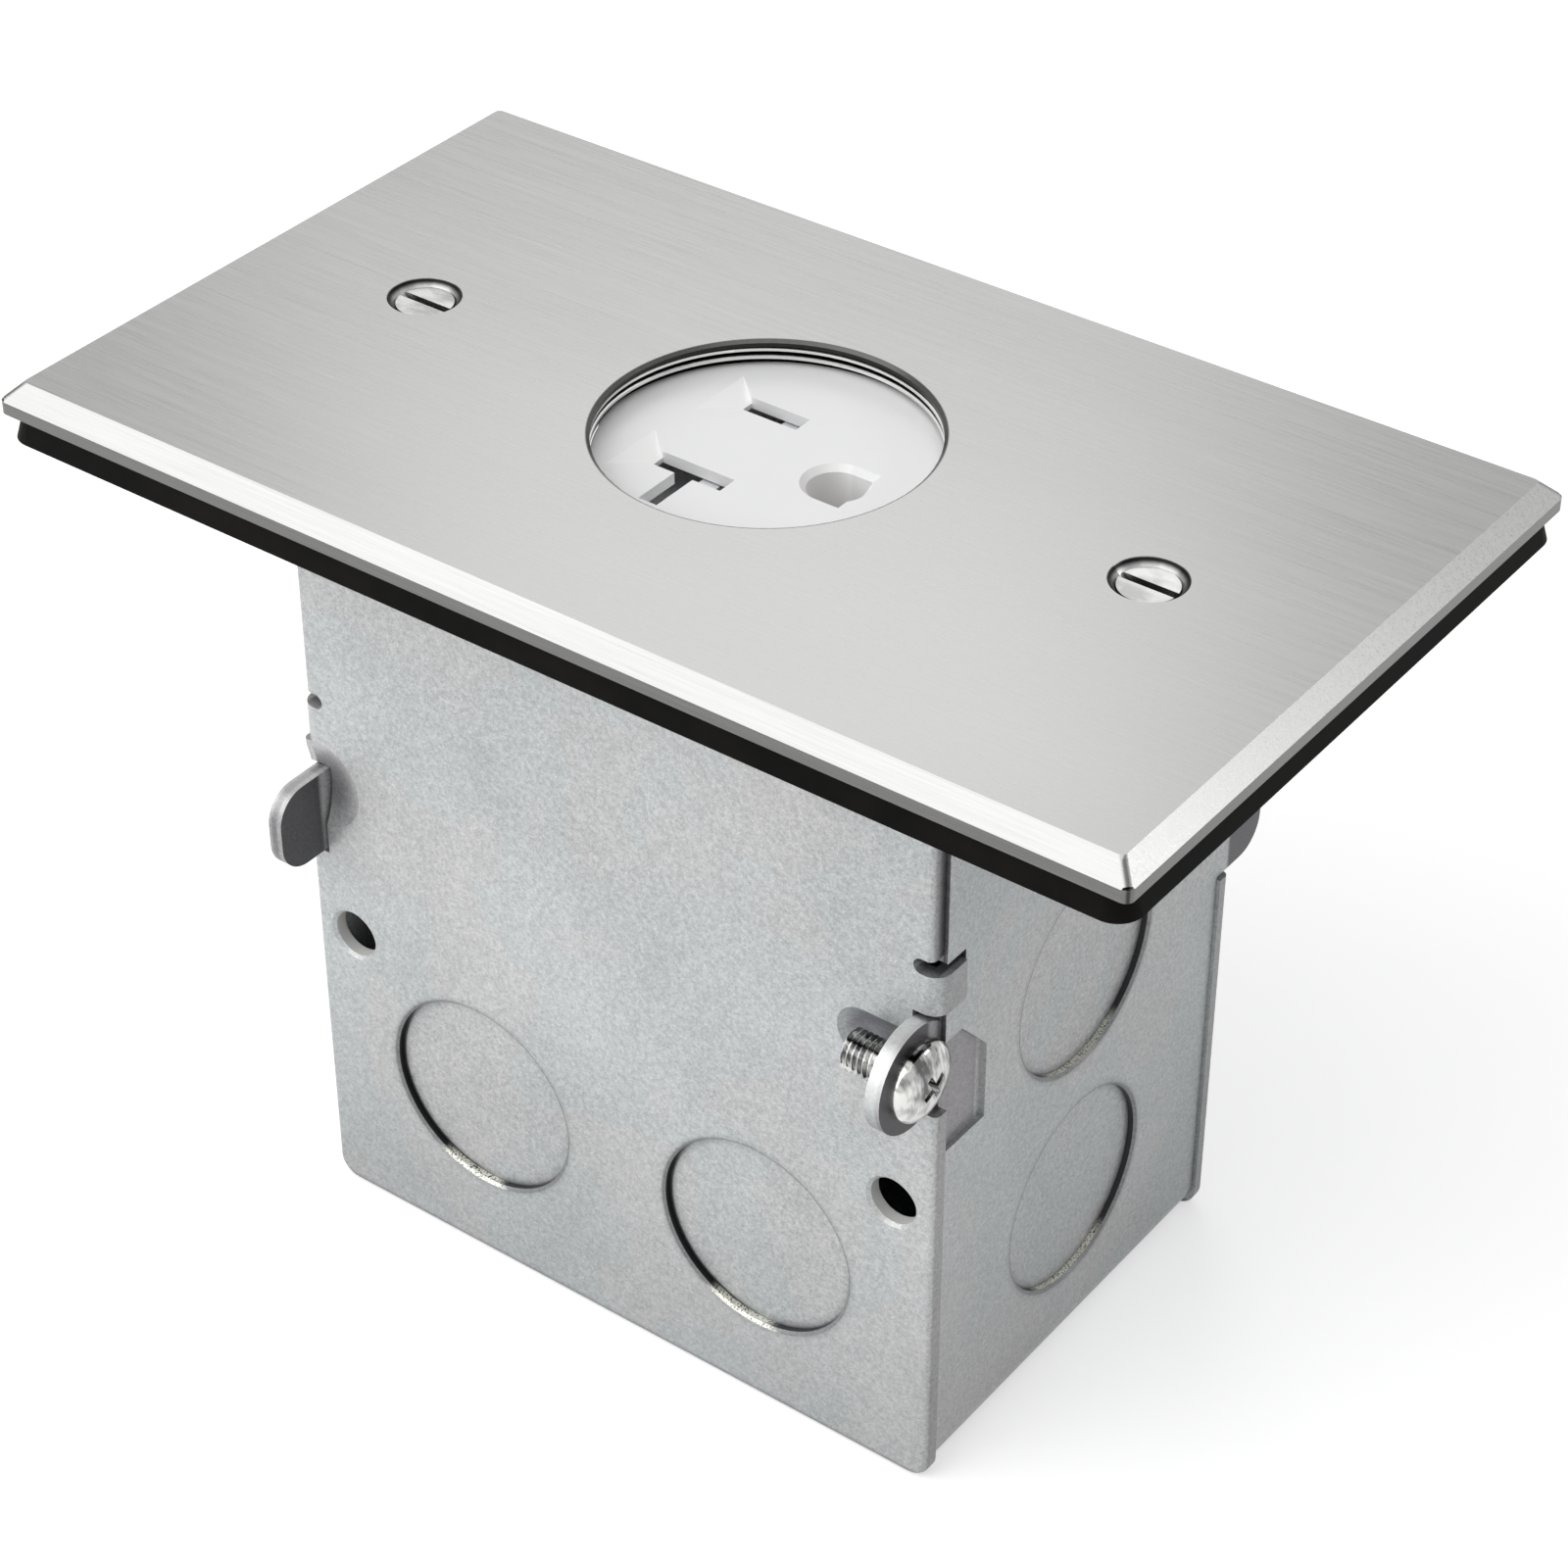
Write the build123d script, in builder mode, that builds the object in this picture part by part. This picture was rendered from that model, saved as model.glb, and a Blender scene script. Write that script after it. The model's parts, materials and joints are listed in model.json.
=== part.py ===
from build123d import *
from math import atan, degrees
import os

os.makedirs("parts", exist_ok=True)

# A flush floor socket: a bevelled cover plate on a rubber gasket closes a gangable steel
# box, and the cover screws clamp a single tamper-resistant receptacle to the box's ears.
# Millimetres. Z is up, the origin is at the middle of the box's bottom, X runs along the
# plate, and -Y is the large side plate whose screw ear is at the right.

# Cover plate
plate_length = 126.4
plate_width = 73.2
plate_thickness = 3.1
plate_corner_radius = 0.9
bevel_width = 1.8
bevel_drop = 1.8
cap_opening_radius = 16.7
cap_opening_chamfer = 0.3
cover_lip = 0.7
cover_screw_spacing = 83.3
cover_screw_sink_radius = 3.7
cover_screw_hole_radius = 2.0

# Threaded ring pressed into the plate from below
ring_wall = 2.0
ring_height = 1.65
ring_fit = 0.05

# Gasket
gasket_thickness = 1.6
gasket_inset = 1.0
gasket_corner_radius = 1.8
gasket_lip_width = 2.2
gasket_lip_drop = 1.2
gasket_lip_flare = 0.8
gasket_window_length = 70.0
gasket_window_width = 45.0

# Steel box
box_length = 76.2
box_width = 50.8
box_depth = 88.9
sheet = 1.6
end_inset = 0.4
sheet_gap = 0.05
bend_radius = 2.4
side_corner_radius = 2.4
side_edge_round = 0.7
upper_edge_inset = 0.9

# Knockouts
knockout_radius = 11.1
knockout_push = 0.85
knockout_edge = 0.25
side_knockout_x = 17.3
side_knockout_z = 21.0
end_knockout_z = 19.9
end_knockout_pitch = 27.8
bottom_knockout_x = 19.0

# Nailing holes and ground screw hole of the box
nail_hole_radius = 2.6
nail_hole_edge = 0.35
nail_hole_x = 33.3
nail_hole_z = 34.3
ground_hole_radius = 2.2

# Device ears that carry the receptacle and take the cover screws
device_ear_width = 20.0
device_ear_margin = 5.85
device_ear_corner = 4.5
strap_notch_clearance = 1.5

# Ganging ears
hook_ear_height = 9.3
hook_ear_corner = 3.4
hook_ear_centre_z = 48.7
hook_ear_proud = 6.1
screw_ear_radius = 5.6
screw_ear_z = 53.0
screw_ear_proud = 2.2
screw_ear_neck = 6.0
screw_ear_neck_drop = 1.2
ear_pocket_depth = 0.6
ear_pocket_width = 6.8
ear_pocket_low = 11.6
ear_pocket_high = 1.8
ear_pocket_shoulder = 2.6
ear_pocket_fall = 4.6
ear_clearance = 0.35
screw_dent_radius = 3.6
screw_dent_from_ear = 7.4
hook_dent_depth = 1.2
hook_dent_radius = 5.0
hook_dent_inset = 1.9
hook_dent_rise = 3.5

# Tabs that hook the side plates into the ends
tab_height = 4.4
tab_reach = 4.2
tab_bend = 1.8
screw_end_tab_rise = 7.8
hook_end_tab_rise = 10.4
tab_clearance = 0.3
tab_relief_radius = 0.85
tab_relief_reach = 3.0

# Side screws
side_screw_radius = 2.08
side_screw_head_radius = 4.1
side_screw_head_height = 2.2
side_screw_length = 6.9
side_screw_slot = 1.1
side_screw_crown = 0.9
side_screw_recess_length = 4.8

# Cover screws
cover_screw_radius = 1.75
cover_screw_head_radius = 3.0
cover_screw_length = 19.0
cover_screw_slot = 0.85
cover_screw_slot_depth = 0.9
cover_screw_sunk = 0.6
head_clearance = 0.12
shank_tip_chamfer = 0.5
thread_fit = 0.02

# Receptacle face
face_recess = 2.75
face_radius = 17.45
face_stand = 4.85
face_top_thickness = 1.2
face_wall = 1.9
face_edge_bevel = 0.35
skirt_height = 4.0
skirt_top_thickness = 1.4
skirt_wall = 1.8

# Blade openings, NEMA spacing
blade_spacing = 12.7
ground_from_blades = 11.9
blade_line_x = -4.0
hot_slot_length = 6.9
neutral_slot_length = 8.4
slot_width = 2.3
branch_width = 2.1
branch_reach = 6.5
ground_radius = 2.8
ground_flat_reach = 2.7
ground_lead_in = 0.6
ground_well_wall = 0.8
ramp_length = 3.0
ramp_half_width = 3.8
ramp_depth = 0.7

# Mounting strap
strap_length = 106.4
strap_width = 19.0
strap_thickness = 1.3
strap_waist_length = 47.0
strap_waist_width = 38.0
strap_corner = 4.0
strap_slot_length = 6.4
strap_slot_width = 4.0
strap_fit = 0.15
ground_tab_x = 30.0
ground_tab_length = 9.0
ground_tab_drop = 10.5
ground_tab_corner = 2.0

# Receptacle base
body_length = 44.0
body_width = 33.0
body_corner = 3.0
base_height = 18.0
base_foot_chamfer = 0.8
core_clearance = 0.2
terminal_recess_depth = 2.6
terminal_recess_drop = 5.4
terminal_recess_margin = 4.8

# Shutter and its guide
shutter_travel = 5.5
shutter_bar = 3.3
shutter_bar_thickness = 1.3
shutter_end_margin = 0.35
shutter_block_length = 3.2
shutter_block_lead = 0.9
shutter_block_side = 0.3
shutter_ramp = 1.2
shutter_headroom = 0.3
slide_gap = 0.1
guide_drop = 0.5
guide_thickness = 1.3
guide_fit = 0.25
guide_opening_clearance = 0.2
guide_rail_width = 1.0
spring_y = 9.4
spring_radius = 1.2
spring_wire = 0.4
spring_pitch = 2.3
spring_seat_x = 9.4
spring_seat_thickness = 1.0
spring_post_half_width = 1.5

# Contacts
strip = 0.8
jaw_gap = 1.2
jaw_flare = 1.3
jaw_height = 11.6
jaw_straight = 5.0
jaw_pinch = 8.6
branch_split = 3.0
contact_clearance = 0.35
terminal_height = 8.6
terminal_offset = 7.5
terminal_width = 8.2
terminal_foot = 2.4
clamp_thickness = 1.2
ground_sleeve_radius = 2.45
ground_sleeve_slit = 1.4
ground_strip_width = 4.0
ground_foot_length = 4.2

# Grounding screw of the box
box_ground_head_radius = 4.2
box_ground_head_height = 2.4
box_ground_flange = 0.6
box_ground_flange_height = 0.8

# Receptacle screws and rivets
terminal_screw_radius = 2.05
terminal_screw_head_radius = 4.0
terminal_screw_head_height = 2.0
terminal_screw_length = 6.0
terminal_screw_slot = 1.1
clamp_hole_play = 0.15
rivet_radius = 1.5
rivet_head_radius = 2.5
rivet_head_height = 0.7
rivet_x = 18.3
rivet_y = 12.0
rivet_fit = 0.03

# Levels, from the bottom of the box
rim_z = box_depth
plate_bottom_z = rim_z + gasket_thickness
plate_top_z = plate_bottom_z + plate_thickness
face_top_z = plate_top_z - face_recess
strap_top_z = face_top_z - face_stand
strap_bottom_z = strap_top_z - strap_thickness
skirt_bottom_z = strap_bottom_z - skirt_height
base_bottom_z = skirt_bottom_z - base_height
guide_bottom_z = strap_bottom_z - guide_drop
guide_top_z = guide_bottom_z + guide_thickness
shutter_bottom_z = guide_top_z + slide_gap
face_under_z = face_top_z - face_top_thickness
shutter_top_z = face_under_z - shutter_headroom

# Places that several pieces share
side_outer_y = box_width / 2
side_inner_y = side_outer_y - sheet
end_outer_x = box_length / 2 - end_inset
end_inner_x = end_outer_x - sheet
body_half_width = side_inner_y - sheet_gap
hook_ear_tip_y = side_outer_y + hook_ear_proud
screw_ear_y = side_outer_y + screw_ear_proud
screw_ear_outer_x = end_outer_x - ear_pocket_depth
screw_notch_x = screw_ear_outer_x - sheet - ear_clearance
hook_notch_x = end_inner_x - ear_clearance
screw_end_tab_z = screw_ear_z + screw_end_tab_rise
hook_end_tab_z = hook_ear_centre_z + hook_end_tab_rise
cover_screw_x = cover_screw_spacing / 2
device_ear_reach = cover_screw_x + device_ear_margin
ring_bore_radius = cap_opening_radius - cap_opening_chamfer
ring_outer_radius = ring_bore_radius + ring_wall
cavity_radius = face_radius - face_wall
hot_y = blade_spacing / 2
neutral_y = -blade_spacing / 2
ground_x = blade_line_x + ground_from_blades
hot_slot_end_x = blade_line_x - hot_slot_length / 2
neutral_slot_end_x = blade_line_x - neutral_slot_length / 2
shutter_x = blade_line_x - shutter_block_lead
shutter_back_x = shutter_x + shutter_bar
spring_z = (shutter_bottom_z + shutter_top_z) / 2
shutter_half_width = blade_spacing / 2 + branch_reach + shutter_end_margin
chamber_half = jaw_gap / 2 + strip + jaw_flare + contact_clearance
terminal_x = blade_line_x - terminal_offset
terminal_back_y = body_width / 2 - terminal_recess_depth
terminal_y = terminal_back_y + strip / 2 + 0.1
jaw_bottom_z = base_bottom_z + base_height / 2
terminal_z = jaw_bottom_z + terminal_height / 2


def save(part, name):
    part.label = name
    export_step(part, f"parts/{name}.step")


# Cover plate with bevelled rim, cap opening, seat for the ring and countersunk holes
with BuildPart() as cover_plate:
    with BuildSketch(Plane.XY.offset(plate_bottom_z)):
        Rectangle(plate_length, plate_width)
    extrude(amount=plate_thickness - bevel_drop)
    with BuildSketch(Plane.XY.offset(plate_top_z - bevel_drop)):
        Rectangle(plate_length, plate_width)
    extrude(amount=bevel_drop, taper=degrees(atan(bevel_width / bevel_drop)))
    corners = cover_plate.edges().filter_by(lambda e: abs(e.bounding_box().size.Z) > bevel_drop / 4)
    fillet(corners, plate_corner_radius)
    with BuildSketch(Plane.XY.offset(plate_bottom_z)):
        Circle(ring_bore_radius)
    extrude(amount=plate_thickness, mode=Mode.SUBTRACT)
    top_circles = cover_plate.faces().sort_by(Axis.Z)[-1].edges().filter_by(GeomType.CIRCLE)
    chamfer(top_circles.sort_by(SortBy.RADIUS)[-1], cap_opening_chamfer)
    with BuildSketch(Plane.XY.offset(plate_bottom_z)):
        Circle(ring_outer_radius)
    extrude(amount=plate_thickness - cover_lip, mode=Mode.SUBTRACT)
    with Locations((-cover_screw_x, 0, plate_top_z), (cover_screw_x, 0, plate_top_z)):
        CounterSinkHole(cover_screw_hole_radius, cover_screw_sink_radius)
save(cover_plate.part, "cover_plate")

# Ring that carries the cap thread, pressed into the plate from below
with BuildPart() as threaded_ring:
    with BuildSketch(Plane.XY.offset(plate_top_z - cover_lip)):
        Circle(ring_outer_radius - ring_fit)
        Circle(ring_bore_radius, mode=Mode.SUBTRACT)
    extrude(amount=-ring_height)
save(threaded_ring.part, "threaded_ring")

# Gasket: a thin web with a lip that flares out and down round the edge
with BuildPart() as gasket:
    with BuildSketch(Plane.XY.offset(plate_bottom_z)):
        RectangleRounded(plate_length - 2 * gasket_inset, plate_width - 2 * gasket_inset,
                         gasket_corner_radius)
    extrude(amount=-(gasket_thickness + gasket_lip_drop), taper=-degrees(
        atan(gasket_lip_flare / (gasket_thickness + gasket_lip_drop))))
    lip_inset = gasket_inset + gasket_lip_width
    with BuildSketch(Plane.XY.offset(rim_z - gasket_lip_drop)):
        RectangleRounded(plate_length - 2 * lip_inset, plate_width - 2 * lip_inset, gasket_corner_radius)
    extrude(amount=gasket_lip_drop, mode=Mode.SUBTRACT)
    with BuildSketch(Plane.XY.offset(rim_z)):
        RectangleRounded(gasket_window_length, gasket_window_width, side_corner_radius)
        with Locations((-cover_screw_x, 0), (cover_screw_x, 0)):
            Circle(cover_screw_hole_radius)
    extrude(amount=gasket_thickness, mode=Mode.SUBTRACT)
save(gasket.part, "gasket")

# Cover screws: slotted flat heads, shanks down through the strap into the ears
head_top_z = plate_top_z - cover_screw_sunk
shank_tip_z = head_top_z - cover_screw_length
head_edge_z = head_top_z - 2 * head_clearance
head_foot_z = head_edge_z - cover_screw_head_radius + head_clearance + cover_screw_radius
with BuildPart() as one_cover_screw:
    with BuildSketch(Plane.XZ):
        with BuildLine():
            Polyline(
                (0, shank_tip_z),
                (cover_screw_radius - shank_tip_chamfer, shank_tip_z),
                (cover_screw_radius, shank_tip_z + shank_tip_chamfer),
                (cover_screw_radius, head_foot_z),
                (cover_screw_head_radius - head_clearance, head_edge_z),
                (cover_screw_head_radius - head_clearance, head_top_z),
                (0, head_top_z),
                close=True,
            )
        make_face()
    revolve(axis=Axis.Z)
    with Locations((0, 0, head_top_z)):
        Box(2 * cover_screw_head_radius, cover_screw_slot, 2 * cover_screw_slot_depth, mode=Mode.SUBTRACT)

with BuildPart() as cover_screws:
    with Locations((-cover_screw_x, 0), (cover_screw_x, 0)):
        add(one_cover_screw.part)
save(cover_screws.part, "cover_screws")


# Box body: one strip bent to a U, with device ears, ganging ears and pockets at its ends
end_plane = {
    1: Plane(origin=(end_outer_x, 0, 0), x_dir=(0, 1, 0), z_dir=(1, 0, 0)),
    -1: Plane(origin=(-end_outer_x, 0, 0), x_dir=(0, -1, 0), z_dir=(-1, 0, 0)),
}
with BuildPart() as box_body:
    with BuildSketch(Plane.XZ):
        with BuildLine():
            middle_x = end_outer_x - sheet / 2
            FilletPolyline(
                (-middle_x, rim_z), (-middle_x, sheet / 2), (middle_x, sheet / 2), (middle_x, rim_z),
                radius=bend_radius,
            )
        trace(line_width=sheet)
    extrude(amount=body_half_width, both=True)
    for end in (1, -1):
        # Device ear, bent outward, with the notch that lets the strap pass over it
        with Locations((end * middle_x, 0, (strap_bottom_z + rim_z) / 2)):
            Box(sheet * 2, device_ear_width + 2 * strap_notch_clearance, rim_z - strap_bottom_z,
                mode=Mode.SUBTRACT)
        with BuildSketch(Plane.XY.offset(strap_bottom_z - sheet)):
            with Locations((end * (end_inner_x + device_ear_reach) / 2, 0)):
                RectangleRounded(device_ear_reach - end_inner_x, device_ear_width, device_ear_corner)
            with Locations((end * (end_inner_x + sheet), 0)):
                Rectangle(2 * sheet, device_ear_width)
        extrude(amount=sheet)
        with Locations((end * cover_screw_x, 0, strap_bottom_z)):
            Hole(cover_screw_radius + thread_fit, depth=2 * sheet)
        # Knockouts of the end: half sheared, pushed in by part of the sheet and still attached
        for level in (end_knockout_z, end_knockout_z + end_knockout_pitch):
            with BuildSketch(end_plane[end]):
                with Locations((0, level)):
                    Circle(knockout_radius)
            extrude(amount=-knockout_push, mode=Mode.SUBTRACT)
            with BuildSketch(end_plane[end]):
                with Locations((0, level)):
                    Circle(knockout_radius + knockout_edge)
            extrude(amount=-knockout_edge, taper=45, mode=Mode.SUBTRACT)
            with BuildSketch(end_plane[end].offset(-sheet)):
                with Locations((0, level)):
                    Circle(knockout_radius)
            extrude(amount=-knockout_push)
        # Screw ear, set in by a shallow pocket, at local -Y
        with BuildSketch(end_plane[end]):
            with BuildLine():
                Polyline(
                    (-body_half_width, screw_ear_z - ear_pocket_low),
                    (-body_half_width + ear_pocket_width, screw_ear_z - ear_pocket_low),
                    (-body_half_width + ear_pocket_width, screw_ear_z + ear_pocket_high - ear_pocket_fall),
                    (-body_half_width + ear_pocket_shoulder, screw_ear_z + ear_pocket_high),
                    (-body_half_width, screw_ear_z + ear_pocket_high),
                    close=True,
                )
            make_face()
        extrude(amount=-ear_pocket_depth, mode=Mode.SUBTRACT)
        with BuildSketch(end_plane[end].offset(-ear_pocket_depth)):
            with BuildLine():
                Polyline(
                    (-body_half_width, screw_ear_z - ear_pocket_low),
                    (-body_half_width + ear_pocket_width, screw_ear_z - ear_pocket_low),
                    (-body_half_width + ear_pocket_width, screw_ear_z + ear_pocket_high),
                    (-body_half_width, screw_ear_z + ear_pocket_high),
                    close=True,
                )
            make_face()
            with Locations((-screw_ear_y, screw_ear_z)):
                Circle(screw_ear_radius)
            neck_y = (screw_ear_y + body_half_width - sheet) / 2
            with Locations((-neck_y, screw_ear_z - screw_ear_neck_drop)):
                Rectangle(screw_ear_y - body_half_width + sheet, screw_ear_neck)
        extrude(amount=-sheet)
        with BuildSketch(end_plane[end]):
            with Locations((-screw_ear_y, screw_ear_z)):
                Circle(side_screw_radius + thread_fit)
        extrude(amount=-3 * sheet, mode=Mode.SUBTRACT)
        # Hook ear, at local +Y
        hook_root_y = body_half_width - hook_ear_corner
        with BuildSketch(end_plane[end]):
            with Locations(((hook_root_y + hook_ear_tip_y) / 2, hook_ear_centre_z)):
                RectangleRounded(hook_ear_tip_y - hook_root_y, hook_ear_height, hook_ear_corner)
        extrude(amount=-sheet)
        # Cut-outs in both edges for the tabs of the side plates
        for side, tab_z in ((-1, screw_end_tab_z), (1, hook_end_tab_z)):
            with BuildSketch(end_plane[end].offset(sheet)):
                with Locations((side * (side_outer_y - tab_reach / 2), tab_z + tab_clearance)):
                    Rectangle(tab_reach + 2 * tab_clearance, tab_height + 4 * tab_clearance)
            extrude(amount=-3 * sheet, mode=Mode.SUBTRACT)
    # Knockouts of the bottom
    with BuildSketch(Plane.XY):
        with Locations((-bottom_knockout_x, 0), (bottom_knockout_x, 0)):
            Circle(knockout_radius)
    extrude(amount=knockout_push, mode=Mode.SUBTRACT)
    with BuildSketch(Plane.XY.offset(sheet)):
        with Locations((-bottom_knockout_x, 0), (bottom_knockout_x, 0)):
            Circle(knockout_radius)
    extrude(amount=knockout_push)
    with Locations((0, 0, sheet)):
        Hole(ground_hole_radius, depth=2 * sheet)
save(box_body.part, "box_body")


# Outsides of the two dents pressed into a side plate, cut off at the plate's inner face:
# a trough that clears the shank of the side screw, and a shallow bowl beside the hook ear
inner_face = Plane(origin=(0, -side_inner_y, 0), x_dir=(1, 0, 0), z_dir=(0, 1, 0))
trough_x = screw_ear_outer_x - screw_dent_from_ear
trough_plane = Plane(origin=(trough_x, -screw_ear_y, screw_ear_z), x_dir=(0, 1, 0), z_dir=(1, 0, 0))
with BuildPart() as screw_dent_shell:
    with Locations((trough_x, -screw_ear_y, screw_ear_z)):
        Sphere(screw_dent_radius + sheet)
    with BuildSketch(trough_plane):
        Circle(screw_dent_radius + sheet)
    extrude(amount=screw_notch_x - trough_x)
    split(bisect_by=inner_face)

bowl_radius = (hook_dent_radius ** 2 + hook_dent_depth ** 2) / (2 * hook_dent_depth)
bowl_x = -box_length / 2 + hook_dent_inset
bowl_y = -side_outer_y - bowl_radius + hook_dent_depth
bowl_z = hook_ear_centre_z + hook_dent_rise
with BuildPart() as hook_dent_shell:
    with Locations((bowl_x, bowl_y, bowl_z)):
        Sphere(bowl_radius + sheet)
    split(bisect_by=inner_face)
    split(bisect_by=Plane(origin=(-hook_notch_x, 0, 0), x_dir=(0, 1, 0), z_dir=(1, 0, 0)))

# Side plate of the box, modelled at -Y, with its screw end at +X
side_face = Plane(origin=(0, -side_outer_y, 0), x_dir=(1, 0, 0), z_dir=(0, -1, 0))
side_knockouts = ((-side_knockout_x, side_knockout_z), (side_knockout_x, side_knockout_z))
with BuildPart() as front_side_plate:
    with BuildSketch(side_face):
        with Locations((0, box_depth / 2)):
            Rectangle(box_length, box_depth)
        fillet(vertices().filter_by(lambda v: v.Y < box_depth / 2), radius=side_corner_radius)
        for edge, tab_z in ((1, screw_end_tab_z), (-1, hook_end_tab_z)):
            with Locations((edge * box_length / 2, (box_depth + tab_z) / 2)):
                Rectangle(2 * upper_edge_inset, box_depth - tab_z, mode=Mode.SUBTRACT)
    extrude(amount=-sheet)
    fillet(front_side_plate.faces().sort_by(Axis.Y)[0].edges(), side_edge_round)
    # Notches that let the two ears of the body stand out
    with BuildSketch(side_face.offset(sheet)):
        with Locations((box_length / 2, screw_ear_z)):
            Rectangle(2 * (box_length / 2 - screw_notch_x), 2 * (screw_ear_radius + ear_clearance))
        with Locations((-box_length / 2, hook_ear_centre_z)):
            Rectangle(2 * (box_length / 2 - hook_notch_x), hook_ear_height + 2 * ear_clearance)
        for edge, tab_z in ((1, screw_end_tab_z), (-1, hook_end_tab_z)):
            with Locations((edge * box_length / 2, tab_z + tab_height / 2 + tab_relief_radius)):
                SlotOverall(2 * tab_relief_reach, 2 * tab_relief_radius)
    extrude(amount=-3 * sheet, mode=Mode.SUBTRACT)
    # Tabs that bend round the corners into the cut-outs of the ends
    for edge, tab_z in ((1, screw_end_tab_z), (-1, hook_end_tab_z)):
        with BuildSketch(Plane.XY.offset(tab_z - tab_height / 2)):
            with Locations((edge * box_length / 2, -side_outer_y)):
                Rectangle(2 * (tab_bend + sheet), 4 * sheet)
        extrude(amount=tab_height, mode=Mode.SUBTRACT)
        with BuildSketch(Plane.XY.offset(tab_z - tab_height / 2)):
            with BuildLine():
                tab_x = edge * (box_length - sheet) / 2
                FilletPolyline(
                    (edge * (box_length / 2 - tab_bend - sheet), -side_outer_y + sheet / 2),
                    (tab_x, -side_outer_y + sheet / 2),
                    (tab_x, -side_outer_y + tab_reach),
                    radius=tab_bend - sheet / 2,
                )
            trace(line_width=sheet)
        extrude(amount=tab_height)
    # Knockouts, half sheared like those of the ends
    with BuildSketch(side_face):
        with Locations(*side_knockouts):
            Circle(knockout_radius)
    extrude(amount=-knockout_push, mode=Mode.SUBTRACT)
    with BuildSketch(side_face):
        with Locations(*side_knockouts):
            Circle(knockout_radius + knockout_edge)
    extrude(amount=-knockout_edge, taper=45, mode=Mode.SUBTRACT)
    with BuildSketch(side_face.offset(-sheet)):
        with Locations(*side_knockouts):
            Circle(knockout_radius)
    extrude(amount=-knockout_push)
    # Nailing holes, and the dents beside the two ears
    with BuildSketch(side_face.offset(sheet)):
        with Locations((-nail_hole_x, nail_hole_z), (nail_hole_x, nail_hole_z)):
            Circle(nail_hole_radius)
    extrude(amount=-3 * sheet, mode=Mode.SUBTRACT)
    with BuildSketch(side_face):
        with Locations((-nail_hole_x, nail_hole_z), (nail_hole_x, nail_hole_z)):
            Circle(nail_hole_radius + nail_hole_edge)
    extrude(amount=-nail_hole_edge, taper=45, mode=Mode.SUBTRACT)
    add(screw_dent_shell.part)
    add(hook_dent_shell.part)
    with Locations((trough_x, -screw_ear_y, screw_ear_z)):
        Sphere(screw_dent_radius, mode=Mode.SUBTRACT)
    with BuildSketch(trough_plane):
        Circle(screw_dent_radius)
    extrude(amount=screw_dent_from_ear + sheet, mode=Mode.SUBTRACT)
    with Locations((bowl_x, bowl_y, bowl_z)):
        Sphere(bowl_radius, mode=Mode.SUBTRACT)
save(front_side_plate.part, "front_side_plate")

with BuildPart() as back_side_plate:
    add(front_side_plate.part.rotate(Axis.Z, 180))
save(back_side_plate.part, "back_side_plate")


# Side screw of one corner: pan head outside the ear, with a cross recess
ear_seat = Plane(origin=(screw_ear_outer_x, -screw_ear_y, screw_ear_z), x_dir=(0, 1, 0), z_dir=(1, 0, 0))
with BuildPart() as one_side_screw:
    with BuildSketch(ear_seat):
        Circle(side_screw_head_radius)
    extrude(amount=side_screw_head_height)
    chamfer(one_side_screw.faces().sort_by(Axis.X)[-1].edges(), side_screw_crown, side_screw_crown * 1.6)
    with BuildSketch(ear_seat):
        Circle(side_screw_radius)
    extrude(amount=-side_screw_length)
    with BuildSketch(ear_seat.offset(side_screw_head_height)):
        Rectangle(side_screw_slot, side_screw_recess_length)
        Rectangle(side_screw_recess_length, side_screw_slot)
    extrude(amount=-side_screw_head_height / 2, mode=Mode.SUBTRACT)

with BuildPart() as side_screws:
    add(one_side_screw.part)
    add(one_side_screw.part.rotate(Axis.Z, 180))
save(side_screws.part, "side_screws")


# Outline of the ground pin's opening, flat on the side away from the blades
def ground_opening(grow):
    with Locations((ground_x, 0)):
        Circle(ground_radius + grow / 2)
    with Locations((ground_x + (ground_flat_reach + grow / 2) / 2, 0)):
        Rectangle(ground_flat_reach + grow / 2, 2 * ground_radius + grow)


# Outlines of the blade openings, shared by the face and the guide under it
def blade_openings(grow):
    with Locations((blade_line_x, hot_y)):
        Rectangle(hot_slot_length + grow, slot_width + grow)
    with Locations((blade_line_x, neutral_y)):
        Rectangle(neutral_slot_length + grow, slot_width + grow)
    with Locations((blade_line_x, neutral_y - branch_reach / 2)):
        Rectangle(branch_width + grow, branch_reach + grow)


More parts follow.
